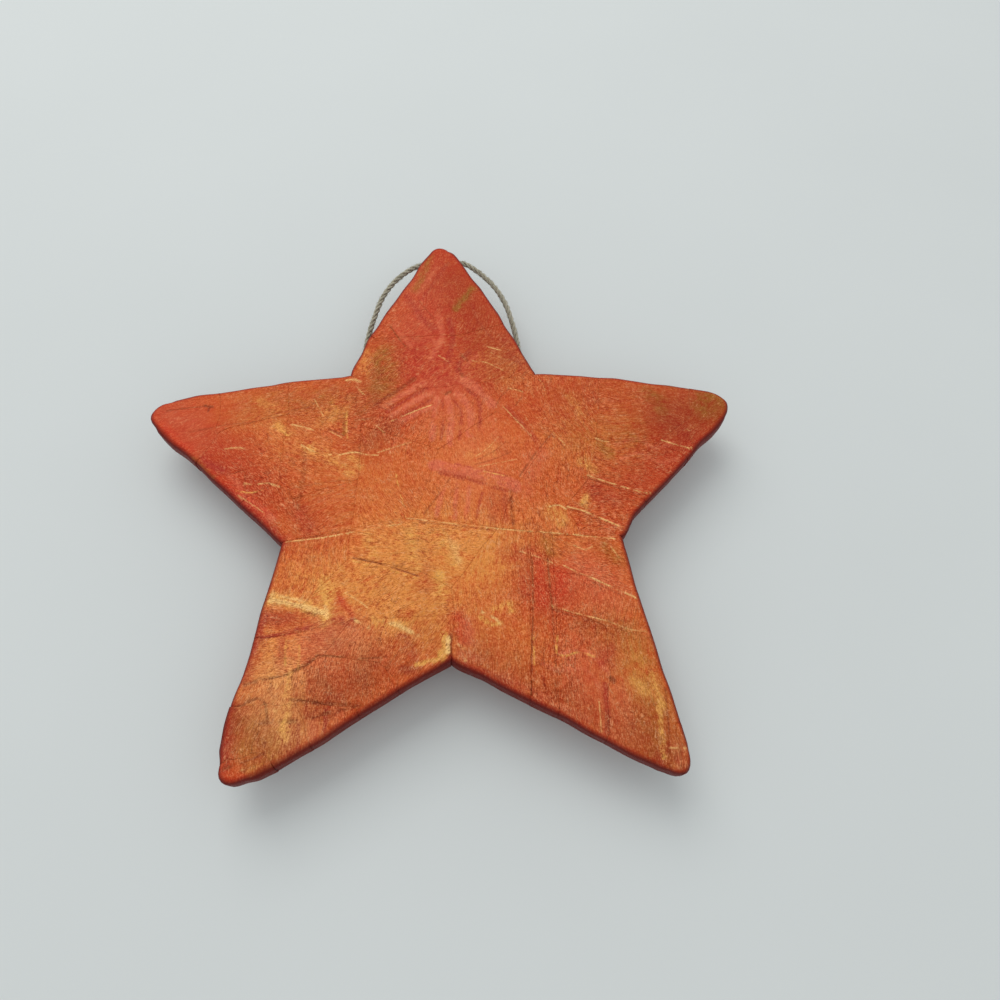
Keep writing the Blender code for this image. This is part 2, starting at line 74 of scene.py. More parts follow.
# Small helpers: noise, meshes and shader nodes
def latticeNoise(points, size, seed):
    # smooth noise from -1 to 1 that changes over about one size; the large numbers only scramble its cells
    spot = np.asarray(points, float) / size + 13.7 * seed
    cell = np.floor(spot).astype(np.int64)
    part = spot - cell
    ease = part * part * part * (part * (part * 6 - 15) + 10)
    total = np.zeros(len(spot))
    for corner in range(8):
        step = np.array([corner & 1, corner >> 1 & 1, corner >> 2 & 1])
        mixed = ((cell + step) * np.array([73856093, 19349663, 83492791])).sum(axis=1) + seed * 60493
        mixed = ((mixed ^ (mixed >> 13)) * 1274126177) & 0x7FFFFFFF
        mixed = ((mixed ^ (mixed >> 15)) * 668265263) & 0x7FFFFFFF
        value = ((mixed >> 7) & 0xFFFF) / 32767.5 - 1
        total += value * np.prod(np.where(step == 1, ease, 1 - ease), axis=1)
    return total


def planNoise(plan, size, seed):
    return latticeNoise(np.column_stack([plan.real, plan.imag, np.zeros(len(plan))]), size, seed)


def easeIn(value):
    value = np.clip(value, 0.0, 1.0)
    return value * value * (3 - 2 * value)


def newPiece(name, mesh, material, body):
    piece = bpy.data.objects.new(name, mesh)
    bpy.context.scene.collection.objects.link(piece)
    mesh.materials.clear()
    mesh.materials.append(material)
    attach(piece, body)
    return piece


def addNode(tree, kind, inputs=None, **settings):
    made = tree.nodes.new(kind)
    for key, value in settings.items():
        setattr(made, key, value)
    for key, value in (inputs or {}).items():
        if isinstance(value, bpy.types.NodeSocket):
            tree.links.new(value, made.inputs[key])
        else:
            made.inputs[key].default_value = value
    return made


def mathNode(tree, operation, *values):
    return addNode(tree, "ShaderNodeMath", dict(enumerate(values)), operation=operation).outputs[0]


def mixColour(tree, factor, a, b, blend="MIX"):
    made = addNode(tree, "ShaderNodeMix", data_type="RGBA", blend_type=blend)
    for key, value in ((0, factor), (6, a), (7, b)):
        if isinstance(value, bpy.types.NodeSocket):
            tree.links.new(value, made.inputs[key])
        else:
            made.inputs[key].default_value = value
    return made.outputs[2]


def shaderGroup(name, inputs, outputs):
    group = bpy.data.node_groups.new(name, "ShaderNodeTree")
    for label, kind, value in inputs:
        socket = group.interface.new_socket(name=label, in_out="INPUT", socket_type=kind)
        if value is not None:
            socket.default_value = value
    for label, kind in outputs:
        group.interface.new_socket(name=label, in_out="OUTPUT", socket_type=kind)
    return group, group.nodes.new("NodeGroupInput"), group.nodes.new("NodeGroupOutput")


def placeGroup(tree, group, inputs):
    return addNode(tree, "ShaderNodeGroup", inputs, node_tree=group).outputs


def newMaterial(name, roughness):
    made = bpy.data.materials.new(name)
    made.use_nodes = True
    shader = made.node_tree.nodes["Principled BSDF"]
    shader.inputs["Roughness"].default_value = roughness
    return made, made.node_tree, shader


def rampValue(tree, value, low, high, top=1.0):
    # 0 up to low, top from high on, and rising between them
    return addNode(tree, "ShaderNodeMapRange", {"Value": value, "From Min": low, "From Max": high,
                                                "To Max": top}).outputs[0]


floatKind = "NodeSocketFloat"
vectorKind = "NodeSocketVector"
noiseSpan = (0.32, 0.68)       # nearly all of a noise lies between these
lineSpan = (0.976, 0.998)      # the same for thin lines, which follow the middle of a noise


def makeGrainGroup():
    # cloudy paint, paper pulp and fine speckle, each from 0 to 1: name, usual size, detail and roughness
    layers = (("Cloud", 0.012, 5.0, 0.68), ("Pulp", 0.0028, 3.0, 0.62), ("Speckle", 0.00045, 2.0, 0.65))
    sizes = [(layer[0] + " Size", floatKind, layer[1]) for layer in layers]
    group, inside, outside = shaderGroup("paperGrain", [("Vector", vectorKind, None), *sizes],
                                         [(layer[0], floatKind) for layer in layers])
    for label, _, detail, rough in layers:
        scale = mathNode(group, "DIVIDE", 1.0, inside.outputs[label + " Size"])
        noise = addNode(group, "ShaderNodeTexNoise", {"Vector": inside.outputs["Vector"], "Scale": scale,
                                                      "Detail": detail, "Roughness": rough})
        group.links.new(rampValue(group, noise.outputs["Fac"], *noiseSpan), outside.inputs[label])
    return group


def makeBrushGroup():
    # brush marks that run along U of the brush map, which is in millimetres: broad, narrow and single
    # bristles, and thin lines that wander along it, creases and fibres. Each has its name, how much longer
    # and wider it is, and whether it is thin.
    marks = (("Sweep", 1.6, 2.6, False), ("Streak", 0.8, 1.0, False), ("Bristle", 0.15, 0.24, False),
             ("Crease", 1.0, 3.2, True), ("Fibre", 0.42, 1.3, True))
    group, inside, outside = shaderGroup(
        "brushMarks", [("Vector", vectorKind, None), ("Length", floatKind, 9.0), ("Width", floatKind, 1.2)],
        [(mark[0], floatKind) for mark in marks])
    parts = addNode(group, "ShaderNodeSeparateXYZ", {"Vector": inside.outputs["Vector"]})
    for label, longer, wider, thin in marks:
        length = mathNode(group, "MULTIPLY", inside.outputs["Length"], longer)
        width = mathNode(group, "MULTIPLY", inside.outputs["Width"], wider)
        along = mathNode(group, "DIVIDE", parts.outputs["X"], length)
        across = mathNode(group, "DIVIDE", parts.outputs["Y"], width)
        place = addNode(group, "ShaderNodeCombineXYZ", {"X": along, "Y": across, "Z": parts.outputs["Z"]})
        noise = addNode(group, "ShaderNodeTexNoise", {"Vector": place.outputs[0], "Scale": 1.0, "Detail": 2.5,
                                                      "Roughness": 0.6, "Distortion": 0.6 if thin else 0.25})
        value = noise.outputs["Fac"]
        if thin:
            off = mathNode(group, "ABSOLUTE", mathNode(group, "SUBTRACT", value, 0.5))
            value = mathNode(group, "SUBTRACT", 1.0, off)
        spread = rampValue(group, value, *(lineSpan if thin else noiseSpan))
        group.links.new(spread, outside.inputs[label])
    return group


def makeCoatGroup():
    # how well a coat of paint covers: its amount, worn thinner where the pattern is low
    group, inside, outside = shaderGroup(
        "paintCoat", [("Amount", floatKind, 0.0), ("Pattern", floatKind, 0.5), ("Worn", floatKind, 0.5)],
        [("Cover", floatKind)])
    centred = mathNode(group, "MULTIPLY_ADD", inside.outputs["Pattern"], 2.0, -1.0)
    share = mathNode(group, "MULTIPLY_ADD", centred, inside.outputs["Worn"], 1.0)
    cover = mathNode(group, "MULTIPLY", share, inside.outputs["Amount"])
    limited = addNode(group, "ShaderNodeClamp", {"Value": cover})
    group.links.new(limited.outputs[0], outside.inputs["Cover"])
    return group


grainGroup = makeGrainGroup()
brushGroup = makeBrushGroup()
coatGroup = makeCoatGroup()
print("shared shader groups made")


# Jute twine
twineSet = {
    "diameter": 0.0021,
    "length": 0.1864,
    "strands": 3,
    "pitch": 0.0072,
    "strandSides": 8,
    "spacing": 0.00045,
    "wobble": (0.05, 0.004),       # how far the strands stray from their helix, and over what length
    "swell": (0.08, 0.0025),       # how much they thicken and thin, and over what length
    "hole": (-0.00002, 0.09414, 0.01575),
    "knotRadius": 0.0021,
    "knotGap": 0.0003,
    "knotSwing": (0.45, 0.21, 0.21),
    "knotSteps": 90,
    "knotTwine": 0.62,
    "knotSides": 6,
    "slope": 0.2535,
    "left": ((-0.0068, 0.0), (-0.0100, -0.0007), (-0.0146, -0.0028), (-0.0202, -0.0073),
             (-0.0249, -0.0136), (-0.0282, -0.0216), (-0.0306, -0.0296), (-0.0320, -0.0368),
             (-0.0312, -0.0438), (-0.0275, -0.0495), (-0.0210, -0.0537), (-0.0115, -0.0562)),
    "end": (-0.0015, -0.0568),
    "right": ((0.0068, 0.0), (0.0096, -0.0012), (0.0148, -0.0052), (0.0200, -0.0110), (0.0236, -0.0176),
              (0.0258, -0.0249), (0.0273, -0.0320), (0.0280, -0.0385), (0.0268, -0.0445), (0.0232, -0.0497),
              (0.0168, -0.0537), (0.0082, -0.0561)),
    "hairs": 1500,
    "hairLength": (0.0006, 0.0022),
    "hairWidth": 0.00005,
    "hairTaper": ((0.0, 1.0), (0.35, 0.9), (0.7, 0.7), (1.0, 0.35)),       # its width along its length
    "hairRoot": 0.40,
    "hairLean": (0.5, 2.2),
    "hairCurl": 0.9,
    "hairDroop": 0.35,
    "hairReach": 0.45,
    "hairSeed": 7,
    "hairMargin": 8,               # points at either end of the twine that carry no hairs
    "hairSides": 3,
    "colour": (0.340, 0.305, 0.205, 1.0),
    "paleColour": (0.580, 0.535, 0.400, 1.0),
    "darkColour": (0.150, 0.128, 0.080, 1.0),
    "darkAmount": 0.30,
    "paleAmount": 0.45,
    "grain": {"Cloud Size": 0.006, "Pulp Size": 0.0009, "Speckle Size": 0.00025},
    "roughness": 0.86,
    "bump": {"Distance": 0.0001, "Strength": 0.8},
    "sheen": 0.25,
}


def lengthAlong(path):
    return np.concatenate([[0], np.cumsum(np.linalg.norm(np.diff(path, axis=0), axis=1))])


def smoothRoute(route, spacing):
    # evenly spaced points on a smooth curve through the route's own points
    route = np.array(route)
    padded = np.vstack([2 * route[0] - route[1], route, 2 * route[-1] - route[-2]])
    t = np.linspace(0, 1, 24, endpoint=False)[:, None]
    fine = []
    for a, b, c, d in zip(padded, padded[1:], padded[2:], padded[3:]):
        fine.append(0.5 * (2 * b + (c - a) * t + (2 * a - 5 * b + 4 * c - d) * t ** 2
                           + (3 * b - a - 3 * c + d) * t ** 3))
    fine = np.vstack(fine + [route[-1:]])
    run = lengthAlong(fine)
    at = np.linspace(0, run[-1], int(round(run[-1] / spacing)) + 1)
    return np.column_stack([np.interp(at, run, fine[:, k]) for k in range(3)]), at


def turningFrames(path):
    # the path's own direction at each point, and two square to it that are carried along without twist
    ahead = np.gradient(path, axis=0)
    ahead /= np.linalg.norm(ahead, axis=1)[:, None]
    side = np.cross(ahead[0], (0.0, 0.0, 1.0))
    sides = []
    for direction in ahead:
        side = side - direction * side.dot(direction)
        side = side / np.linalg.norm(side)
        sides.append(side)
    sides = np.array(sides)
    return ahead, sides, np.cross(ahead, sides)


def strandTube(path, radii, sides, vertices, faces):
    # a closed tube with round ends
    _, across, up = turningFrames(path)
    base = len(vertices)
    turn = 2 * math.pi * np.arange(sides) / sides
    for spot, a, b, radius in zip(path, across, up, radii):
        vertices.extend(spot + radius * (math.cos(t) * a + math.sin(t) * b) for t in turn)
    rings = len(path)
    for r in range(rings - 1):
        for k in range(sides):
            n = (k + 1) % sides
            faces.append((base + r * sides + k, base + r * sides + n,
                          base + (r + 1) * sides + n, base + (r + 1) * sides + k))
    faces.append(tuple(base + k for k in reversed(range(sides))))
    faces.append(tuple(base + (rings - 1) * sides + k for k in range(sides)))


def twistTwine(path, at, diameter, sides):
    # strands that lie against each other and wind round the path
    strand = diameter / 2 / (1 + 2 / math.sqrt(3))
    reach = diameter / 2 - strand
    _, across, up = turningFrames(path)
    along = np.column_stack([at, at * 0, at * 0])
    vertices, faces = [], []
    for k in range(twineSet["strands"]):
        turn = 2 * math.pi * (at / twineSet["pitch"] + k / twineSet["strands"])
        wobble = 1 + twineSet["wobble"][0] * latticeNoise(along, twineSet["wobble"][1], 31 + k)
        aside = np.cos(turn)[:, None] * across + np.sin(turn)[:, None] * up
        centre = path + reach * aside * wobble[:, None]
        swell = 1 + twineSet["swell"][0] * latticeNoise(along, twineSet["swell"][1], 41 + k)
        strandTube(centre, strand * swell, sides, vertices, faces)
    return vertices, faces


def addHairs(path, vertices, faces):
    # loose fibres that stand off the twine
    ahead, across, up = turningFrames(path)
    draw = np.random.default_rng(twineSet["hairSeed"])
    margin = twineSet["hairMargin"]
    short, long = twineSet["hairLength"]
    widths = twineSet["hairWidth"] * np.array([width for _, width in twineSet["hairTaper"]])
    for _ in range(twineSet["hairs"]):
        k = int(draw.integers(margin, len(path) - margin))
        turn = draw.uniform(0, 2 * math.pi)
        out = math.cos(turn) * across[k] + math.sin(turn) * up[k]
        lean = ahead[k] * draw.choice((-1, 1)) * draw.uniform(*twineSet["hairLean"])
        curl = np.cross(out, ahead[k]) * draw.uniform(-twineSet["hairCurl"], twineSet["hairCurl"])
        length = short + (long - short) * draw.random() ** 2
        start = path[k] + out * twineSet["diameter"] * twineSet["hairRoot"]
        points = []
        for share, _ in twineSet["hairTaper"]:
            step = out * share * (1 - twineSet["hairDroop"] * share) + lean * share + curl * share * share
            points.append(start + step * length * twineSet["hairReach"])
        strandTube(np.array(points), widths, twineSet["hairSides"], vertices, faces)


def smoothMesh(name, vertices, faces):
    mesh = bpy.data.meshes.new(name)
    mesh.from_pydata([tuple(v) for v in vertices], [], faces)
    mesh.shade_smooth()
    return mesh


def wornOver(tree, colour, amount, pattern, paint):
    # another colour over this one, worn away where the pattern is low
    cover = placeGroup(tree, coatGroup, {"Amount": amount, "Pattern": pattern, "Worn": 1.0})["Cover"]
    return mixColour(tree, cover, colour, paint)


def makeJuteMaterial():
    made, tree, shader = newMaterial("juteTwine", twineSet["roughness"])
    place = tree.nodes.new("ShaderNodeTexCoord").outputs["Object"]
    grain = placeGroup(tree, grainGroup, {"Vector": place, **twineSet["grain"]})
    body = mixColour(tree, grain["Cloud"], twineSet["colour"], twineSet["paleColour"])
    body = wornOver(tree, body, twineSet["darkAmount"], grain["Pulp"], twineSet["darkColour"])
    body = wornOver(tree, body, twineSet["paleAmount"], grain["Speckle"], twineSet["paleColour"])
    tree.links.new(body, shader.inputs["Base Color"])
    bump = addNode(tree, "ShaderNodeBump", {"Height": grain["Speckle"], **twineSet["bump"]})
    tree.links.new(bump.outputs[0], shader.inputs["Normal"])
    shader.inputs["Sheen Weight"].default_value = twineSet["sheen"]
    return made


def twineRoute():
    end = twineSet["knotRadius"] + twineSet["knotGap"]
    flat = [(-end, 0.0), *twineSet["left"], twineSet["end"], *reversed(twineSet["right"]), (end, 0.0)]
    hole = np.array(twineSet["hole"])
    return [hole + (x, y, y * twineSet["slope"]) for x, y in flat]


def knotMesh():
    # an overhand knot drawn tight, inside the point
    share = np.linspace(0, 2 * math.pi, twineSet["knotSteps"])
    size = twineSet["knotRadius"]
    wide, high, deep = twineSet["knotSwing"]
    path = np.column_stack([np.sin(3 * share) * size * wide,
                            (np.sin(share) + 2 * np.sin(2 * share)) * size * high,
                            (np.cos(share) - 2 * np.cos(2 * share)) * size * deep]) + twineSet["hole"]
    vertices, faces = twistTwine(path, lengthAlong(path), size * twineSet["knotTwine"], twineSet["knotSides"])
    return smoothMesh("twine_end_knot", vertices, faces)


def makeTwine():
    path, at = smoothRoute(twineRoute(), twineSet["spacing"])
    vertices, faces = twistTwine(path, at, twineSet["diameter"], twineSet["strandSides"])
    addHairs(path, vertices, faces)
    jute = makeJuteMaterial()
    loop = newPiece("twine_loop", smoothMesh("twine_loop", vertices, faces), jute, "hanger")
    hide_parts("hanger_twine")
    knot = newPiece("twine_end_knot", knotMesh(), jute, "hanger")
    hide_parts("twine_knot")


makeTwine()
print("twine made")


# The star's outline and section
starSet = {
    "middle": (-0.00002, -0.00886),
    "tipRadius": 0.1160,
    "innerRadius": 0.0576,
    "tipRound": 0.0064,
    "tipExtra": (0.0017, -0.0035, 0.0043, 0.0001, -0.0034),
    "tipTurn": (0.0, 0.4, 0.0, -0.4, -0.4),
    "innerExtra": (-0.0011, 0.0013, -0.0010, -0.0003, 0.0013),
    "innerTurn": (1.5, 0.1, -0.4, -0.3, 0.4),
    "sideBulge": (0.0002, 0.0012, -0.0003, 0.0003, 0.0016, -0.0010, 0.0004, -0.0006, 0.0009, 0.0010),
    "tipSteps": 20,
    "sideSteps": 90,
    "backDepth": 0.0115,
    "wallHeight": 0.0085,
    "edgeRound": 0.0020,
    "crown": 0.0030,
    "crownPower": 2.4,
    "crownEdge": 16,           # the crown ends close to the edge
    "restRadius": 0.0220,
    "bowlPower": 1.1,
    "paper": 0.0006,
    "ply": 0.0002,
    "tuckWidth": 0.0055,
    "sideDistance": 0.0509,    # middle to the line of a side
    "bendRows": 4,
    "wallRows": 5,
    "tuckRows": 6,
    "slopeStep": 0.0004,
    "ringStep": 0.1,           # degrees between the directions from the middle that tables are kept for
    "notchBlur": (200, 60.0),  # how far the inner corners are softened, in those steps
    "notchWidth": 10,
    "cutBlur": (20, 4.0),
}
arms = 5
middle = complex(*starSet["middle"])
middlePoint = np.array((middle.real, middle.imag, 0))
rimTop = starSet["backDepth"] + starSet["wallHeight"]
edgeRound = starSet["edgeRound"]
paperDepth = starSet["paper"]


def starCorners():
    found = []
    for k in range(arms):
        heading = math.radians(90 - 72 * k)
        found.append(cmath.rect(starSet["tipRadius"] + starSet["tipExtra"][k],
                                heading + math.radians(starSet["tipTurn"][k])))
        found.append(cmath.rect(starSet["innerRadius"] + starSet["innerExtra"][k],
                                heading + math.radians(starSet["innerTurn"][k] - 36)))
    return found


corners = starCorners()
sideWays = [(b - a) / abs(b - a) for a, b in zip(corners, corners[1:] + corners[:1])]


def insetCorner(k, inset):
    n1, n2 = -1j * sideWays[k - 1], -1j * sideWays[k]
    return corners[k] + inset * (n1 + n2) / (1 + (n1 * n2.conjugate()).real)


def roundedTip(k, inset):
    # the arc round tip k, clockwise, with its first and last points on the two sides
    centre = insetCorner(k, starSet["tipRound"])
    start = cmath.phase(1j * sideWays[k - 1])
    sweep = (start - cmath.phase(1j * sideWays[k])) % (2 * math.pi)
    steps = starSet["tipSteps"]
    radius = starSet["tipRound"] - inset
    return [centre + cmath.rect(radius, start - sweep * s / steps) for s in range(steps + 1)]


def starLoop(inset):
    # the outline moved in, clockwise, always with the same stations
    loop = []
    steps = starSet["sideSteps"]
    for arm in range(arms):
        tip, notch = 2 * arm, 2 * arm + 1
        arc = roundedTip(tip, inset)
        ends = (arc[-1], insetCorner(notch, inset), roundedTip((tip + 2) % 10, inset)[0])
        loop += arc
        for side, a, b in ((tip, ends[0], ends[1]), (notch, ends[1], ends[2])):
            for s in range(1 if side == tip else 0, steps):
                t = s / steps
                bow = 4 * t * (1 - t) * starSet["sideBulge"][side]
                loop.append(a + (b - a) * t + 1j * sideWays[side] * bow)
    return np.array(loop)


faceLoop = starLoop(edgeRound)
rimLoop = starLoop(0.0)
stations = len(faceLoop)
perArm = stations // arms
notchStations = [arm * perArm + starSet["tipSteps"] + starSet["sideSteps"] for arm in range(arms)]
ahead = np.roll(rimLoop, -1) - np.roll(rimLoop, 1)
outward = 1j * ahead / abs(ahead)      # square to the rim, away from the star


def blurRing(values, reach, width):
    # values round the star, each averaged with its neighbours
    window = np.exp(-0.5 * (np.arange(-reach, reach + 1) / width) ** 2)
    padded = np.concatenate([values[-reach:], values, values[:reach]])
    return np.convolve(padded, window / window.sum(), "valid")


def ringOf(angles, values):
    # values at the stations of the outline, as one value for each direction from the middle
    order = np.argsort(np.angle(faceLoop))
    return np.interp(angles, np.angle(faceLoop)[order], values[order], period=2 * math.pi)


def makeReach():
    # how far the face goes in each direction from the middle, and the same with its inner corners softened
    angles = np.radians(np.arange(0, 360, starSet["ringStep"]))
    reach = ringOf(angles, abs(faceLoop))
    near = np.zeros(len(angles))
    for k in notchStations:
        off = np.angle(np.exp(1j * (angles - np.angle(faceLoop[k]))))
        near = np.maximum(near, np.exp(-(off / math.radians(starSet["notchWidth"])) ** 2))
    return angles, reach, reach + near * (blurRing(reach, *starSet["notchBlur"]) - reach)


reachAngles, reachTrue, reachSoft = makeReach()


def shareOf(plan, table):
    return abs(plan) / np.interp(np.angle(plan), reachAngles, table, period=2 * math.pi)


# How far the real star's edge lies outside the even outline, in millimetres: for each point, from the top
# clockwise, round its tip, down its side to the inner corner, and up the next side
handCut = (
    ((-0.1, -0.2, -0.8, -1.1, -1.7, -1.9, -2.3, -2.9, -2.6),
     (-1.7, -1.2, -1.1, -0.2, 0.0, 0.4, 0.1, 0.7, 0.4, 0.4),
     (0.9, 0.9, 1.0, 0.9, 1.4, 1.2, 0.8, 1.2, 1.1, 1.2)),
    ((1.0, 1.4, 1.3, 1.6, 2.1, 1.6, 1.2, 1.2, 0.4),
     (0.7, 0.9, 0.2, 0.6, 0.6, 0.4, 0.0, -0.4, -0.6, 1.0),
     (0.6, 0.4, 0.0, 0.0, 0.1, 0.1, -0.1, 0.4, 0.5, 0.6)),
    ((0.6, 1.2, 1.8, 2.8, 3.4, 2.7, 1.4, 0.5, 0.4),
     (0.1, 0.1, -0.4, -0.6, -1.1, -0.9, -0.6, -0.2, -0.1, 1.0),
     (1.0, 1.2, 1.4, 1.8, 2.0, 2.3, 2.7, 2.4, 2.2, 1.3)),
    ((1.3, 1.3, 2.4, 3.2, 3.4, 2.9, 1.0, 0.4, 0.4),
     (0.6, 1.3, 1.2, 0.3, 0.0, 0.0, 0.2, 0.1, 0.1, 0.2),
     (0.7, 0.8, 1.1, 1.4, 1.4, 1.7, 1.5, 1.6, 2.3, 1.9)),
    ((1.8, 2.5, 3.4, 3.4, 2.7, 2.0, 1.4, 0.3, 0.3),
     (0.6, 1.0, 0.3, 0.1, 0.3, 0.1, 0.5, 0.3, 0.1, 0.0),
     (0.9, 0.8, 1.6, 1.0, 1.1, 0.6, 0.4, 0.0, 0.7, 0.0)),
)


def makeCut():
    # the same as one shift for each direction from the middle: 9 round each tip, then 10 down each side
    at, values = [], []
    tipSteps, sideSteps = starSet["tipSteps"], starSet["sideSteps"]
    for arm, (tip, down, up) in enumerate(handCut):
        first = arm * perArm
        at += [first + tipSteps * k / 8 for k in range(9)]
        at += [first + tipSteps + sideSteps * (0.05 + 0.1 * k) for k in range(10)]
        at += [first + tipSteps + sideSteps * (1.05 + 0.1 * k) for k in range(10)]
        values += tip + down + up
    shifts = np.interp(np.arange(stations), at, values, period=stations) * mm
    return blurRing(ringOf(reachAngles, shifts * outward), *starSet["cutBlur"])


cutTable = makeCut()


def cutShift(plan):
    shift = np.interp(np.angle(plan), reachAngles, cutTable, period=2 * math.pi)
    return shift * np.clip(shareOf(plan, reachTrue), 0, 1.1) ** 3


def cutByHand(points):
    # points moved as the star's real outline was cut
    shift = cutShift(points[:, 0] + 1j * points[:, 1])
    return points + np.column_stack([shift.real, shift.imag, np.zeros(len(points))])


def frontHeight(plan):
    edge = np.clip(shareOf(plan, reachTrue), 0, 1)
    share = np.clip(shareOf(plan, reachSoft), 0, 1)
    crown = starSet["crown"] * (1 - share ** starSet["crownPower"])
    return rimTop + crown * (1 - edge ** starSet["crownEdge"])


def backHeight(plan):
    flat = starSet["restRadius"] / starSet["tipRadius"]
    rise = np.clip(shareOf(plan, reachTrue) - flat, 0, None) / (1 - flat)
    return starSet["backDepth"] * rise ** starSet["bowlPower"]


def slopeNormals(plan, height, sign):
    step = starSet["slopeStep"]
    east = (height(plan + step) - height(plan - step)) / (2 * step)
    north = (height(plan + 1j * step) - height(plan - 1j * step)) / (2 * step)
    normal = np.column_stack([-east * sign, -north * sign, np.full(len(plan), sign)])
    return normal / np.linalg.norm(normal, axis=1)[:, None]


def wallRows():
    # rows down the side wall and in under the back: plan, height and the normal's tilt
    rows = []
    bends = [math.pi / 2 * k / starSet["bendRows"] for k in range(1, starSet["bendRows"] + 1)]
    low, high = starSet["backDepth"] + edgeRound, rimTop - edgeRound
    for a in bends:
        rows.append((starLoop(edgeRound * (1 - math.sin(a))), rimTop - edgeRound * (1 - math.cos(a)), a))
    for k in range(1, starSet["wallRows"] + 1):
        rows.append((rimLoop, high + (low - high) * k / starSet["wallRows"], math.pi / 2))
    for a in bends:
        rows.append((starLoop(edgeRound * (1 - math.cos(a))), low - edgeRound * math.sin(a), math.pi / 2 + a))
    return rows


wallLines = wallRows()
tuckShare = 1 - starSet["tuckWidth"] / starSet["sideDistance"]
print("outline:", stations, "stations,", len(wallLines), "rows down the wall")


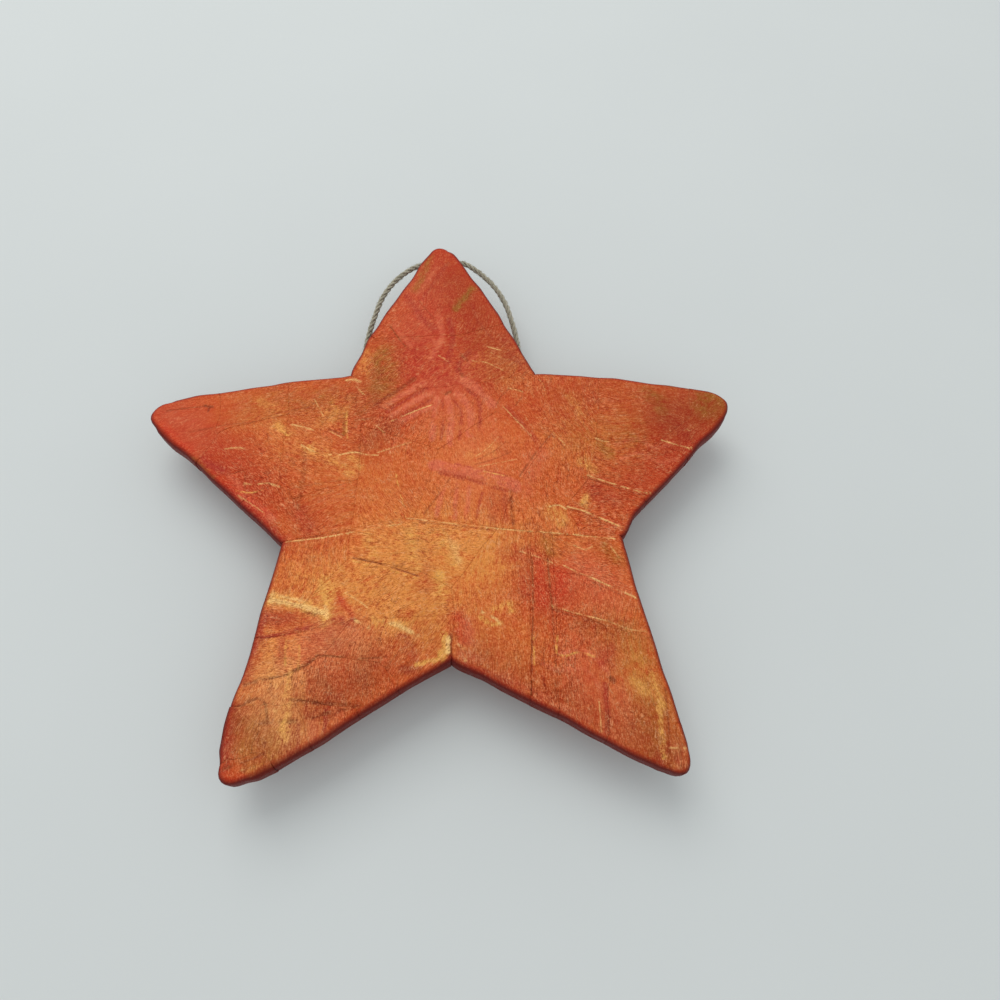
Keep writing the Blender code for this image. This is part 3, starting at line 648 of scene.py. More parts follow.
# Paint marks on the front, in millimetres from the star's middle. Each is a stroke along its points:
# the paint, half its width, its strength, how far it stands up (or down) and the points.
paints = ("gold", "tan", "pale", "olive", "dark", "crimson", "scarlet", "pink", "red", "calm", "glow")
centreMarks = (
    ("pink", 1.3, 1.0, 0.20, ((-23, 31.5), (-16, 36.5), (-8.5, 41.5))),
    ("pink", 1.3, 1.0, 0.20, ((-19.5, 28.2), (-13, 32.8), (-6, 37))),
    ("pink", 1.1, 0.90, 0.16, ((-16, 25.6), (-11, 28.4), (-5.5, 31))),
    ("crimson", 0.8, 0.75, -0.16, ((-21.5, 29.8), (-14.5, 34.6), (-7.5, 39))),
    ("crimson", 0.8, 0.72, -0.16, ((-18, 26.6), (-12, 30.5), (-6, 34.2))),
    ("dark", 1.0, 0.60, -0.14, ((-26, 33), (-19, 38), (-12, 43.5))),
    ("pale", 0.32, 0.80, 0.08, ((-19.5, 26), (-14, 28.6), (-6, 31.8))),
    ("dark", 0.8, 0.95, -0.14, ((-0.8, 36.6), (1.2, 37.8))),
    ("pink", 2.2, 1.0, 0.20, ((5, 42.5), (10.5, 38.8), (15.5, 32))),
    ("pink", 1.7, 1.0, 0.20, ((3.4, 36.5), (7.6, 30), (7.4, 20))),
    ("pink", 1.5, 1.0, 0.20, ((0, 34.6), (0.8, 26), (0.2, 16))),
    ("pink", 1.3, 0.95, 0.16, ((-3.8, 35), (-4.8, 27), (-5.8, 18))),
    ("crimson", 0.9, 0.75, -0.18, ((7, 38.4), (10.6, 34), (11.2, 27), (10.4, 22))),
    ("crimson", 0.7, 0.70, -0.16, ((2, 34), (4.6, 28), (3.6, 18))),
    ("crimson", 0.7, 0.62, -0.14, ((-2, 34), (-1.8, 27), (-2.6, 18))),
    ("dark", 0.4, 0.60, -0.08, ((17, 32), (19, 36), (23, 39.5), (27, 37.5), (24, 32))),
    ("pale", 0.28, 0.60, 0.08, ((19, 32), (23.5, 26), (28.5, 19))),
    ("crimson", 1.2, 0.50, -0.06, ((21, 31), (27, 22), (31, 16))),
    ("dark", 0.5, 0.75, -0.12, ((23.5, 3), (29, 11), (35.6, 19.6))),
    ("dark", 0.4, 0.70, -0.10, ((35.6, 19.6), (38, 16.5), (40, 13.5))),
    ("pale", 0.26, 0.60, 0.06, ((36.6, 20), (38.8, 16.9), (40.8, 13.9))),
    ("pink", 2.6, 1.0, 0.20, ((-5, 8), (6, 5.2), (19, 1.2), (22, -1))),
    ("crimson", 0.9, 0.68, -0.18, ((-3, 4.9), (8, 1.8), (19, -2.4))),
    ("crimson", 0.5, 0.55, -0.06, ((2, 8.2), (11, 5.8), (20, 3.4))),
    ("gold", 0.32, 0.75, 0.06, ((11.5, 5.2), (15, 4.2), (20, 3.0))),
    ("tan", 3.2, 0.60, 0, ((8, 10.5), (14, 13))),
    ("dark", 0.34, 0.55, -0.06, ((9, 8), (15, 9.8), (21, 12.4))),
    ("dark", 0.34, 0.50, -0.06, ((9.5, 9.8), (15, 12.8), (19.5, 16.6))),
    ("pale", 0.28, 0.50, 0.06, ((10, 7), (16, 8.2), (23, 9.6))),
    ("pale", 0.28, 0.45, 0.06, ((9, 11), (13.6, 14.6), (17, 18.6))),
    ("dark", 0.55, 0.62, -0.14, ((0, 2.6), (-4, -3.5), (-8.5, -10))),
    ("crimson", 0.7, 0.70, -0.14, ((10.8, -3), (9.6, -7), (8.8, -11.5))),
    ("pink", 1.0, 0.75, 0.10, ((-1.5, 0.5), (-3.5, -6), (-4.5, -11))),
    ("pink", 1.0, 0.75, 0.10, ((2.5, 0.5), (1.8, -6), (1.5, -11.5))),
    ("pink", 1.0, 0.70, 0.10, ((6.5, -0.5), (6, -6), (5.5, -12))),
    ("crimson", 2.6, 0.40, 0, ((14, -5), (14, -12))),
    ("crimson", 1.6, 0.55, 0, ((18, -4), (18, -13))),
    ("dark", 0.7, 0.72, -0.16, ((20.5, -2.5), (20.3, -8), (20.5, -14.5))),
    ("dark", 4.5, 0.40, 0, ((-28, 16), (-22, 23))),
    ("dark", 2.6, 0.35, 0, ((-26, 33), (-25, 47))),
    ("pink", 3.4, 0.45, 0, ((26, 4), (31, 12))),
    ("pink", 2.0, 0.45, 0, ((26, -3), (26, 3))),
    ("pale", 0.26, 0.60, 0.06, ((22, 39.5), (24.5, 38.8), (27, 38))),
    ("gold", 0.36, 0.95, 0.10, ((-18.2, 7), (-17, 0), (-15.4, -6), (-14.6, -10.8))),
    ("pale", 0.30, 1.0, 0.16, ((-53.5, -17.4), (-42, -16.9), (-30, -15.3), (-16, -13.4))),
    ("dark", 0.30, 0.50, -0.06, ((-50, -16.6), (-42, -16.2), (-30, -14.6), (-17, -12.6))),
    ("pale", 0.30, 0.75, 0.12, ((-14, -11.4), (-5, -12.8), (10, -15))),
    ("dark", 0.34, 0.65, -0.08, ((-10, -12.9), (2, -14.4), (12, -15.9))),
    ("pale", 0.30, 1.0, 0.16, ((12, -15.4), (22, -16.6), (36, -17.8), (46, -18.8), (54, -19.4))),
    ("dark", 0.5, 0.95, -0.14, ((-31, -24.3), (-24, -26.3), (-17, -28.8), (-10.5, -31.2))),
    ("gold", 0.5, 0.75, 0.06, ((-31, -25.5), (-20, -28.9), (-11, -32))),
    ("gold", 1.6, 0.55, 0, ((-13, -16), (-11, -28))),
    ("gold", 2.0, 0.55, 0, ((-3, -18), (1.5, -27))),
    ("pale", 1.2, 0.35, 0, ((0, -19), (2.6, -27))),
    ("gold", 1.6, 0.50, 0, ((-27, -17), (-25, -23))),
    ("crimson", 2.4, 0.35, 0, ((-8, -35), (-8, -29))),
    ("crimson", 3.4, 0.35, 0, ((18, -24), (25, -26))),
)
upperLeftMarks = (
    ("gold", 0.5, 0.80, 0.06, ((-35.4, 30), (-35.2, 24), (-34.6, 19.5))),
    ("olive", 0.9, 0.60, 0, ((-36, 29), (-36, 21))),
    ("pale", 0.6, 0.65, 0.08, ((-36.5, 44.6), (-34, 45), (-31.5, 43.8))),
    ("pale", 0.5, 0.60, 0.06, ((-33, 42), (-30, 38))),
    ("pale", 0.42, 0.80, 0.08, ((-50, 17), (-47, 15), (-44, 13.8), (-40, 13))),
    ("pale", 0.42, 0.85, 0.08, ((-37, 12.8), (-32, 13.6), (-28, 12.6), (-24, 12.3))),
    ("pale", 0.30, 0.60, 0.08, ((-24, 13.4), (-18, 15.5), (-13, 17))),
    ("pale", 0.36, 0.70, 0.06, ((-41, 22.4), (-38.5, 21), (-36.6, 19.6))),
    ("dark", 0.5, 0.80, -0.12, ((-41.5, 23.5), (-38.5, 22), (-36, 20.6))),
    ("gold", 2.4, 0.42, 0, ((-47, 16), (-40, 11), (-33, 6))),
    ("gold", 1.6, 0.50, 0, ((-33, 12), (-30, 8))),
    ("tan", 4.0, 0.55, 0, ((-42, 26), (-38, 32))),
    ("olive", 2.4, 0.45, 0, ((-44, 38), (-40, 34))),
    ("pale", 0.34, 0.60, 0.05, ((-47, 36), (-45, 32), (-43.5, 29))),
    ("pale", 0.30, 0.55, 0.05, ((-30, 27), (-26, 25), (-22, 21))),
)
leftMarks = (
    ("dark", 0.7, 0.90, -0.08, ((-85, 34.7), (-82.4, 34.3))),
    ("dark", 0.6, 0.80, -0.06, ((-83.4, 34.4), (-83.5, 32.4))),
    ("dark", 0.4, 0.65, -0.08, ((-98, 33), (-91, 33.9), (-85, 34.6))),
    ("dark", 0.36, 0.50, -0.06, ((-88.6, 24), (-75, 26.4), (-68, 27), (-59, 30.7), (-48.6, 33))),
    ("dark", 0.4, 0.60, -0.08, ((-81, 7.5), (-73.6, 7.5), (-69, 8), (-68, 2))),
    ("crimson", 2.0, 0.95, 0, ((-83, 13), (-79, 10.4), (-76, 9))),
    ("pale", 0.34, 0.70, 0.06, ((-76, 16.8), (-72, 17), (-68, 16.4))),
    ("pale", 0.42, 0.75, 0.12, ((-68.6, 3.9), (-65, 3.2), (-60.7, 3.4), (-56.4, 1.8))),
    ("gold", 0.36, 0.65, 0.10, ((-71, 1.4), (-66, 0.4), (-62, 1.2))),
    ("pink", 1.8, 0.85, 0.16, ((-69, -1), (-63, -5), (-58, -9.5))),
    ("pale", 0.30, 0.55, 0.08, ((-70, -0.4), (-66, -3.2), (-61, -7))),
    ("gold", 1.6, 0.55, 0, ((-59, 25.4), (-55, 21.6))),
    ("pale", 0.5, 0.70, 0, ((-54, 25.6), (-50, 24.4), (-46.5, 23))),
    ("gold", 1.6, 0.26, 0, ((-66, 36), (-60, 33))),
    ("dark", 0.36, 0.50, -0.06, ((-53.6, 0.7), (-40, 2.9), (-33, 3.2))),
    ("dark", 1.1, 0.40, -0.04, ((-49, 14), (-48.4, 8), (-50, -6))),
    ("scarlet", 2.0, 0.90, 0, ((-99, 27), (-93, 21), (-88, 17))),
    ("scarlet", 3.0, 0.85, 0, ((-80, 7.5), (-70, -1), (-62, -8))),
    ("crimson", 1.8, 0.90, 0, ((-74, 1), (-64, -8), (-54, -17.5))),
    ("pink", 1.1, 0.65, 0.06, ((-78, 9.5), (-72, 5.5), (-69, 1))),
    ("gold", 0.8, 0.60, 0, ((-87.6, 14.6), (-84, 11.6), (-79, 6.6))),
    ("crimson", 3.2, 0.45, 0, ((-50, -6), (-47, -13))),
    ("dark", 0.34, 0.50, -0.05, ((-62, 22), (-61, 17))),
)
rightMarks = (
    ("olive", 4.2, 0.85, 0, ((94, 35.5), (92, 29))),
    ("olive", 2.0, 0.85, 0, ((96, 36), (100, 30))),
    ("olive", 1.2, 0.80, 0, ((77, 42), (90, 39.5))),
    ("olive", 2.6, 0.60, 0, ((73, 37), (76, 34), (76, 28))),
    ("dark", 2.0, 0.40, 0, ((68, 36), (77, 30))),
    ("pale", 0.30, 0.85, 0.10, ((74.5, 17), (80, 15.4), (85.6, 14))),
    ("pale", 0.34, 0.85, 0.10, ((47, 3.2), (53, 1.0), (60, -1.2), (68.6, -3.4))),
    ("dark", 0.32, 0.50, -0.06, ((47, 2.2), (53, 0.1), (60, -2.1), (66, -4))),
    ("pale", 0.40, 0.95, 0.12, ((39, -8.2), (44, -9.6), (49, -11.8), (55.7, -14.8))),
    ("dark", 0.36, 0.60, -0.10, ((40, -9.3), (45, -10.8), (50, -13.2))),
    ("pale", 0.44, 0.90, 0.10, ((33, -8.2), (36, -7.6), (38.4, -9))),
    ("gold", 1.2, 0.70, 0, ((45.5, -4.5), (44.6, -7.6))),
    ("gold", 2.2, 0.52, 0, ((33.5, -9), (37, -13))),
    ("gold", 1.6, 0.45, 0, ((45, 9), (49, 5))),
    ("pale", 0.30, 0.70, 0.06, ((51, 17.6), (53, 16.6), (56, 15.9))),
    ("dark", 0.36, 0.50, -0.06, ((51, 18.4), (54, 17))),
    ("pink", 0.9, 0.60, 0.08, ((58, 15), (65, 17.5), (72, 14), (79, 16))),
    ("pink", 0.8, 0.55, 0.08, ((59, 9.4), (66, 11.7), (73, 8.4), (80, 10))),
    ("dark", 0.40, 0.45, -0.06, ((58, 12.3), (65, 14.7), (72, 11.2), (79, 13.2))),
    ("olive", 2.4, 0.60, 0, ((52, 16), (55, 12))),
    ("olive", 1.6, 0.50, 0, ((62, 20), (67, 16))),
    ("crimson", 3.6, 0.55, 0, ((49, -2), (54.5, -5.5))),
    ("crimson", 3.0, 0.40, 0, ((78, 25), (84, 20))),
    ("pale", 0.28, 0.65, 0.05, ((33.5, 43.6), (34.6, 41.5), (34.8, 38.6))),
    ("pale", 0.36, 0.70, 0, ((84.3, 21.7), (85, 21.2))),
    ("dark", 1.1, 0.45, -0.04, ((85, 20), (86.5, 16), (86, 14))),
    ("gold", 1.8, 0.22, 0, ((44, 36), (47, 28))),
    ("dark", 0.4, 0.35, -0.05, ((42, 34), (50, 31), (58, 30))),
)
topMarks = (
    ("olive", 1.3, 0.90, 0, ((10.3, 87), (6.5, 80.5), (3.3, 75))),
    ("pink", 1.1, 0.55, 0.08, ((-3, 97), (-8, 89), (-13, 80))),
    ("crimson", 0.9, 0.50, -0.08, ((1, 99), (-4, 90), (-9, 81))),
    ("crimson", 0.8, 0.50, -0.08, ((9, 79), (12, 70), (17, 62))),
    ("pink", 1.0, 0.55, 0.08, ((-12, 76), (-8, 66), (-3, 57))),
    ("crimson", 1.2, 0.75, -0.08, ((3.4, 46.5), (5, 51), (8.4, 55.5))),
    ("pink", 0.9, 0.60, 0.08, ((5.4, 45), (7.4, 49.6), (11, 53.6))),
    ("olive", 1.6, 0.60, 0, ((-6.4, 103), (-8.6, 95), (-11.5, 86))),
    ("dark", 0.5, 0.80, -0.10, ((-21, 68.5), (-18.5, 63.5), (-15.3, 58.3))),
    ("pink", 1.2, 0.50, 0.06, ((-19.4, 69), (-16.6, 63.5), (-13.4, 58.6))),
    ("olive", 3.2, 0.65, 0, ((-25, 54), (-24.5, 47))),
    ("dark", 0.7, 0.85, -0.10, ((4.7, 54), (7.3, 51))),
    ("dark", 0.9, 0.60, -0.06, ((4.4, 47), (5.4, 44))),
    ("pale", 0.40, 0.70, 0, ((15, 58), (18.5, 57), (22, 56.4))),
    ("pale", 0.34, 0.60, 0, ((16.5, 55), (20, 53), (23, 52.4))),
    ("pale", 0.30, 0.55, 0, ((9, 51), (14, 50.5), (20, 47.5))),
    ("pale", 0.40, 0.55, 0, ((-3, 53.2), (-1, 51.6), (0.2, 50.6))),
    ("crimson", 1.4, 0.70, 0, ((-15, 83), (-9, 71), (-5, 66))),
    ("dark", 0.5, 0.40, -0.06, ((-12, 84), (-8, 76), (-4, 70))),
    ("pink", 1.4, 0.60, 0.08, ((-3, 72), (-2, 62), (-6, 52))),
    ("crimson", 1.2, 0.65, -0.06, ((1, 70), (2, 60), (0, 50))),
    ("crimson", 2.4, 0.50, 0, ((22, 62), (24, 55), (28, 49))),
    ("tan", 2.6, 0.60, 0, ((-30, 56), (-30, 49))),
)
lowerLeftMarks = (
    ("gold", 1.8, 0.70, 0, ((-3.4, -31), (-3.6, -38))),
    ("gold", 2.4, 0.75, 0, ((-57, -36.2), (-49, -38.4), (-40, -41.4))),
    ("pale", 1.1, 0.85, 0.12, ((-56.4, -36.8), (-49, -38.8), (-43, -40.6), (-39.8, -42))),
    ("pale", 0.6, 0.70, 0.08, ((-56, -35), (-50, -36.8), (-46, -38))),
    ("gold", 2.6, 0.95, 0, ((-39.8, -32.5), (-38.8, -37), (-39.2, -43.5))),
    ("pale", 0.9, 0.60, 0, ((-39, -40), (-38.4, -43.6))),
    ("dark", 0.8, 0.95, -0.12, ((-45, -41.4), (-42, -42.4))),
    ("scarlet", 1.5, 0.95, 0, ((-35.8, -37.4), (-34, -39.2))),
    ("scarlet", 1.2, 0.75, 0, ((-34, -39), (-30.8, -43))),
    ("crimson", 3.2, 0.65, 0, ((-57, -42), (-50, -43.5))),
    ("crimson", 0.8, 1.0, 0.10, ((-59.6, -48.8), (-50, -47.7), (-40.5, -45.8), (-34, -44.2), (-30.4, -44.6))),
    ("crimson", 1.6, 0.80, 0, ((-34.5, -44.8), (-31.4, -46))),
    ("crimson", 3.2, 0.55, 0, ((-38, -48.5), (-34, -53))),
    ("pink", 3.4, 0.55, 0, ((-37, -50), (-30, -50))),
    ("dark", 0.6, 1.0, -0.16, ((-62, -62.6), (-56, -61.6), (-49, -60.2), (-44, -58), (-40.6, -55.4))),
    ("dark", 0.5, 0.90, -0.14, ((-41, -55.2), (-34, -55.9), (-27, -56.5), (-20, -56.3))),
    ("dark", 0.62, 1.0, -0.16, ((-47.6, -67.8), (-40, -69), (-32, -69.8), (-25, -70.7))),
    ("dark", 0.6, 1.0, -0.14, ((-56, -74.2), (-47, -74), (-37, -72), (-29, -70.4))),
    ("crimson", 0.7, 1.0, -0.12, ((-45, -74), (-45.2, -78), (-45, -82))),
    ("crimson", 0.7, 1.0, -0.12, ((-37.5, -71.4), (-37.6, -77))),
    ("dark", 0.6, 0.95, -0.12, ((-55, -69), (-54, -73.6), (-54.2, -80.5))),
    ("dark", 0.6, 1.0, -0.14, ((-64.6, -69.7), (-61, -68.2), (-57.4, -67), (-55, -69))),
    ("dark", 0.5, 1.0, -0.14, ((-66, -86.4), (-60, -84.7), (-53.4, -82.2))),
    ("dark", 0.9, 0.85, -0.10, ((-59.6, -85.6), (-59.4, -86.8))),
    ("pale", 0.5, 0.60, 0.12, ((-60.4, -85.8), (-60.2, -86.6))),
    ("crimson", 1.6, 0.90, 0, ((-57.6, -42), (-60, -52), (-62.5, -62))),
    ("crimson", 2.0, 0.90, 0, ((-64.5, -70), (-65.5, -78), (-66, -86))),
    ("tan", 2.4, 0.95, 0, ((-55, -51), (-54, -60))),
    ("tan", 2.0, 0.95, 0, ((-48, -50), (-48, -59))),
    ("gold", 0.5, 0.70, 0.04, ((-50.4, -50), (-50, -58))),
    ("gold", 0.5, 0.60, 0.04, ((-46.2, -52), (-46, -59))),
    ("crimson", 1.2, 0.45, 0, ((-52, -50), (-51.6, -58))),
    ("tan", 3.0, 1.0, 0, ((-51, -62), (-50.6, -72))),
    ("pale", 1.0, 0.50, 0.04, ((-52.4, -63), (-52, -71))),
    ("tan", 1.8, 0.90, 0, ((-45, -59), (-45, -70))),
    ("gold", 1.2, 0.50, 0, ((-48.6, -60), (-48.6, -72))),
    ("dark", 0.5, 0.45, -0.06, ((-47.6, -60), (-47.4, -66))),
    ("gold", 1.5, 0.75, 0, ((-49, -74), (-49, -78))),
    ("tan", 2.4, 0.95, 0, ((-51.4, -76), (-51.6, -84))),
    ("tan", 2.2, 0.70, 0, ((-58.6, -70), (-59, -82))),
    ("olive", 2.6, 0.45, 0, ((-61, -74), (-60, -82))),
    ("tan", 1.9, 0.90, 0, ((-57, -86.4), (-52, -85))),
    ("pink", 2.6, 0.75, 0, ((-41.5, -74.5), (-40.8, -79.5))),
    ("pink", 1.8, 0.60, 0, ((-34.5, -72.5), (-33.6, -75.5))),
    ("crimson", 1.6, 0.65, 0, ((-47, -76), (-47, -82))),
    ("dark", 3.0, 0.60, 0, ((-40, -62), (-36, -68))),
    ("dark", 1.8, 0.40, 0, ((-42.6, -60), (-42, -72))),
    ("crimson", 1.6, 0.60, 0, ((-38.6, -66.4), (-33, -67.6))),
    ("crimson", 2.0, 0.55, 0, ((-15.6, -50), (-12, -56))),
    ("crimson", 1.2, 0.75, 0, ((-15.6, -59.6), (-11.8, -60.8))),
    ("dark", 2.0, 0.55, 0, ((-14.5, -60), (-11, -59.4))),
    ("scarlet", 2.6, 0.70, 0, ((-65, -88.4), (-61.5, -90))),
    ("gold", 1.3, 1.0, 0.06, ((-2.8, -50), (-2.2, -53), (-3.6, -56.4))),
    ("pale", 0.8, 0.90, 0.06, ((-1.4, -51), (-1.6, -55))),
    ("gold", 0.9, 0.80, 0, ((-11, -58.6), (-6, -57.6), (-2.4, -57.4))),
    ("dark", 0.6, 0.95, -0.15, ((-0.6, -50), (-0.8, -57.5))),
    ("dark", 1.4, 0.80, -0.10, ((-2.6, -59), (0.6, -58.4))),
    ("pale", 0.8, 0.75, 0.06, ((-18.8, -46), (-15, -47.6), (-10.6, -50))),
    ("pale", 0.7, 0.65, 0.06, ((-29.6, -45), (-27.6, -46), (-25.4, -47.6))),
    ("crimson", 0.5, 0.70, -0.06, ((-16, -49.6), (-13.4, -50.4))),
    ("gold", 1.6, 0.55, 0, ((-24, -45), (-15, -47))),
    ("pale", 0.4, 0.60, 0.04, ((-33, -36), (-29, -38.6), (-26, -41))),
)
lowerRightMarks = (
    ("dark", 0.5, 0.90, -0.14, ((26, -26), (25.4, -40), (24.4, -53), (23.2, -69.3))),
    ("dark", 0.5, 0.90, -0.14, ((31, -26.6), (31.2, -44))),
    ("dark", 0.4, 0.65, -0.12, ((31.2, -44), (31, -58), (30.3, -72))),
    ("gold", 0.5, 0.90, 0.05, ((32.2, -52), (31.6, -57), (33.5, -57.8))),
    ("gold", 0.34, 0.70, 0.05, ((24.9, -52), (24.6, -60))),
    ("scarlet", 2.0, 0.75, 0, ((28.5, -27), (28.2, -41))),
    ("scarlet", 3.0, 0.80, 0, ((34.3, -31.5), (34.6, -38))),
    ("crimson", 2.4, 0.30, 0, ((22.6, -31), (22.6, -38))),
    ("pale", 0.30, 0.65, 0.12, ((22, -23.8), (27, -25.6), (32.3, -28))),
    ("pale", 0.34, 0.75, 0.12, ((36, -29), (40, -31), (44.3, -32.9))),
    ("pale", 0.44, 1.0, 0.14, ((44.3, -32.9), (51, -36.2), (58.4, -39.6))),
    ("dark", 0.36, 0.50, -0.08, ((40, -32.2), (48, -36), (55, -39.4))),
    ("pale", 0.32, 0.75, 0.12, ((31.4, -42.3), (38.6, -44.8), (48.6, -47.5))),
    ("dark", 0.42, 0.75, -0.12, ((32, -43.6), (38.6, -46), (46, -48.2))),
    ("pale", 0.30, 0.55, 0.08, ((48.6, -47.5), (55, -50), (61, -51))),
    ("dark", 3.4, 0.35, 0, ((40, -49), (52, -50))),
    ("pale", 0.6, 0.70, 0, ((9.5, -43.4), (13.4, -45.6), (14.8, -47.6))),
    ("gold", 1.1, 0.85, 0, ((13.4, -42.6), (17.6, -41), (18.4, -43))),
    ("gold", 0.9, 0.70, 0, ((9, -45), (12, -47.4), (15, -47))),
    ("scarlet", 2.4, 0.80, 0, ((1.8, -45), (2.4, -50.4))),
    ("pink", 2.4, 0.75, 0, ((4, -46), (5, -52))),
    ("pink", 2.0, 0.65, 0, ((3, -56), (7, -58.4))),
    ("pale", 0.36, 0.60, 0.05, ((1.8, -53), (4.6, -56), (3.4, -58))),
    ("crimson", 0.8, 0.75, 0, ((5, -59), (12, -62.4), (20, -66.5))),
    ("pink", 0.9, 0.75, 0.10, ((32, -57.5), (38.6, -56.4), (44.3, -60), (47.8, -65.7))),
    ("pink", 0.8, 0.60, 0.08, ((27, -60), (33, -62.6), (40, -62.4), (44, -68))),
    ("gold", 0.5, 0.65, 0.06, ((34.6, -58), (38.6, -57), (43, -58.6))),
    ("dark", 0.9, 0.95, -0.12, ((47.4, -65.0), (48.2, -66.1))),
    ("crimson", 1.0, 0.80, -0.06, ((45.4, -67), (45.4, -75), (44.6, -82))),
    ("pale", 0.30, 0.55, 0.05, ((43.3, -72), (43.3, -81))),
    ("crimson", 2.6, 0.55, 0, ((49, -56), (46, -60))),
    ("pink", 3.0, 0.50, 0, ((50, -68), (52, -80))),
    ("tan", 3.0, 0.75, 0, ((56, -58), (58, -66))),
    ("gold", 1.6, 0.50, 0, ((54.5, -66.5), (58, -69.5))),
    ("gold", 1.0, 0.60, 0, ((60.4, -64), (62.6, -74))),
    ("dark", 0.5, 0.85, -0.12, ((64, -68.6), (63.4, -80), (62.2, -91))),
    ("gold", 0.9, 0.55, 0, ((61.4, -72), (60.6, -88))),
    ("pink", 2.2, 0.80, 0, ((65.4, -86), (65, -92))),
    ("crimson", 1.6, 0.75, 0, ((60.5, -87), (59, -93))),
    ("pale", 0.28, 0.60, 0.08, ((62.8, -85.8), (68, -86))),
    ("olive", 2.4, 0.55, 0, ((31, -20), (31.6, -24))),
    ("olive", 2.6, 0.55, 0, ((50, -22), (54, -26))),
    ("pale", 0.34, 0.60, 0.06, ((40, -22), (43.5, -23.4), (46, -22.4))),
    ("pale", 0.34, 0.60, 0.06, ((49, -20.6), (52.5, -22.6), (54.6, -26))),
    ("crimson", 1.8, 0.85, 0, ((3, -60), (30, -75.4), (60, -94.5))),
    ("pink", 1.2, 0.50, 0, ((14, -62), (24, -68), (40, -77))),
)
frontMarks = (centreMarks + upperLeftMarks + leftMarks + rightMarks + topMarks + lowerLeftMarks
              + lowerRightMarks)

# Large soft washes under the marks: the paint, how far it reaches, its strength and its line. Two are no
# paints: calm is where the paint was brushed out smooth, glow where the base coat is warmer (or redder).
frontWashes = (
    ("glow", 18, 0.8, ((0, 24), (6, -4))),
    ("glow", 13, 0.5, ((-44, 10), (-28, 0))),
    ("glow", 14, 0.7, ((-24, -24), (4, -26))),
    ("glow", 14, -0.9, ((98, 30), (80, 24))),
    ("glow", 11, -0.35, ((38, 22), (50, 6))),
    ("glow", 9, -0.4, ((22, -30), (32, -40))),
    ("glow", 18, -0.55, ((0, 90), (4, 56))),
    ("glow", 12, -0.4, ((-62, -78), (-54, -86))),
    ("glow", 10, -0.3, ((60, -84), (62, -90))),
    ("calm", 24, 0.75, ((0, 106), (2, 72))),
    ("calm", 16, 0.75, ((-100, 30), (-84, 26))),
    ("calm", 16, 0.60, ((98, 32), (82, 26))),
    ("calm", 11, 0.50, ((-14, 36), (2, 36), (8, 24), (6, 4))),
    ("red", 24, 0.86, ((0, 106), (2, 60))),
    ("pink", 10, 0.22, ((-10, 88), (-12, 66))),
    ("dark", 10, 0.34, ((4, 90), (20, 52))),
    ("red", 12, 0.70, ((-12, 52), (4, 50))),
    ("red", 9, 0.50, ((-34, 34), (-18, 28))),
    ("tan", 9, 0.25, ((14, 52), (26, 47))),
    ("olive", 5, 0.55, ((-25, 55), (-23, 42))),
    ("pink", 13, 0.34, ((0, 38), (4, 26), (8, 4))),
    ("red", 12, 0.75, ((-100, 32), (-84, 20), (-66, 2))),
    ("pink", 8, 0.30, ((-98, 30), (-86, 24))),
    ("olive", 9, 0.26, ((-66, 34), (-46, 34), (-34, 36))),
    ("tan", 9, 0.25, ((-62, 26), (-54, 20))),
    ("tan", 13, 0.16, ((-44, 8), (-24, 2))),
    ("olive", 6, 0.66, ((99, 34), (95, 30))),
    ("dark", 12, 0.50, ((98, 30), (80, 24))),
    ("red", 10, 0.50, ((88, 28), (72, 16))),
    ("red", 9, 0.40, ((94, 26), (84, 20))),
    ("dark", 9, 0.22, ((80, 36), (60, 40), (42, 36))),
    ("olive", 10, 0.28, ((62, 22), (48, 18))),
    ("tan", 12, 0.20, ((54, 14), (38, 18))),
    ("red", 9, 0.56, ((84, 10), (64, 0))),
    ("tan", 14, 0.92, ((-20, -23), (4, -24))),
    ("tan", 9, 0.34, ((-44, -30), (-34, -36))),
    ("tan", 9, 0.42, ((-28, -36), (-14, -40))),
    ("tan", 10, 0.26, ((12, -22), (34, -18))),
    ("tan", 8, 0.28, ((-52, -30), (-44, -34))),
    ("pink", 7, 0.35, ((-40, -50), (-30, -50))),
    ("tan", 9, 0.62, ((-55, -52), (-48, -72))),
    ("pale", 8, 0.20, ((-53, -62), (-50, -76))),
    ("pale", 6, 0.12, ((-38, -50), (-28, -54))),
    ("olive", 8, 0.38, ((-62, -76), (-56, -82))),
    ("dark", 8, 0.46, ((-62, -74), (-54, -84))),
    ("pink", 9, 0.34, ((-58, -76), (-46, -66), (-48, -54))),
    ("tan", 12, 0.22, ((2, 16), (8, 0))),
    ("dark", 8, 0.40, ((-42, -70), (-26, -62))),
    ("crimson", 7, 0.32, ((-34, -62), (-18, -56))),
    ("tan", 10, 0.40, ((-20, -44), (-4, -48))),
    ("red", 10, 0.55, ((24, -34), (34, -38))),
    ("pink", 8, 0.40, ((42, -32), (50, -40))),
    ("tan", 9, 0.22, ((10, -46), (22, -54))),
    ("olive", 9, 0.38, ((54, -52), (60, -72), (62, -88))),
    ("tan", 7, 0.34, ((52, -54), (58, -72))),
    ("pink", 8, 0.34, ((40, -60), (50, -82))),
    ("dark", 8, 0.34, ((12, -58), (34, -72), (56, -90))),
    ("dark", 8, 0.28, ((58, -78), (64, -90))),
    ("dark", 7, 0.20, ((-10, -47), (6, -54))),
)


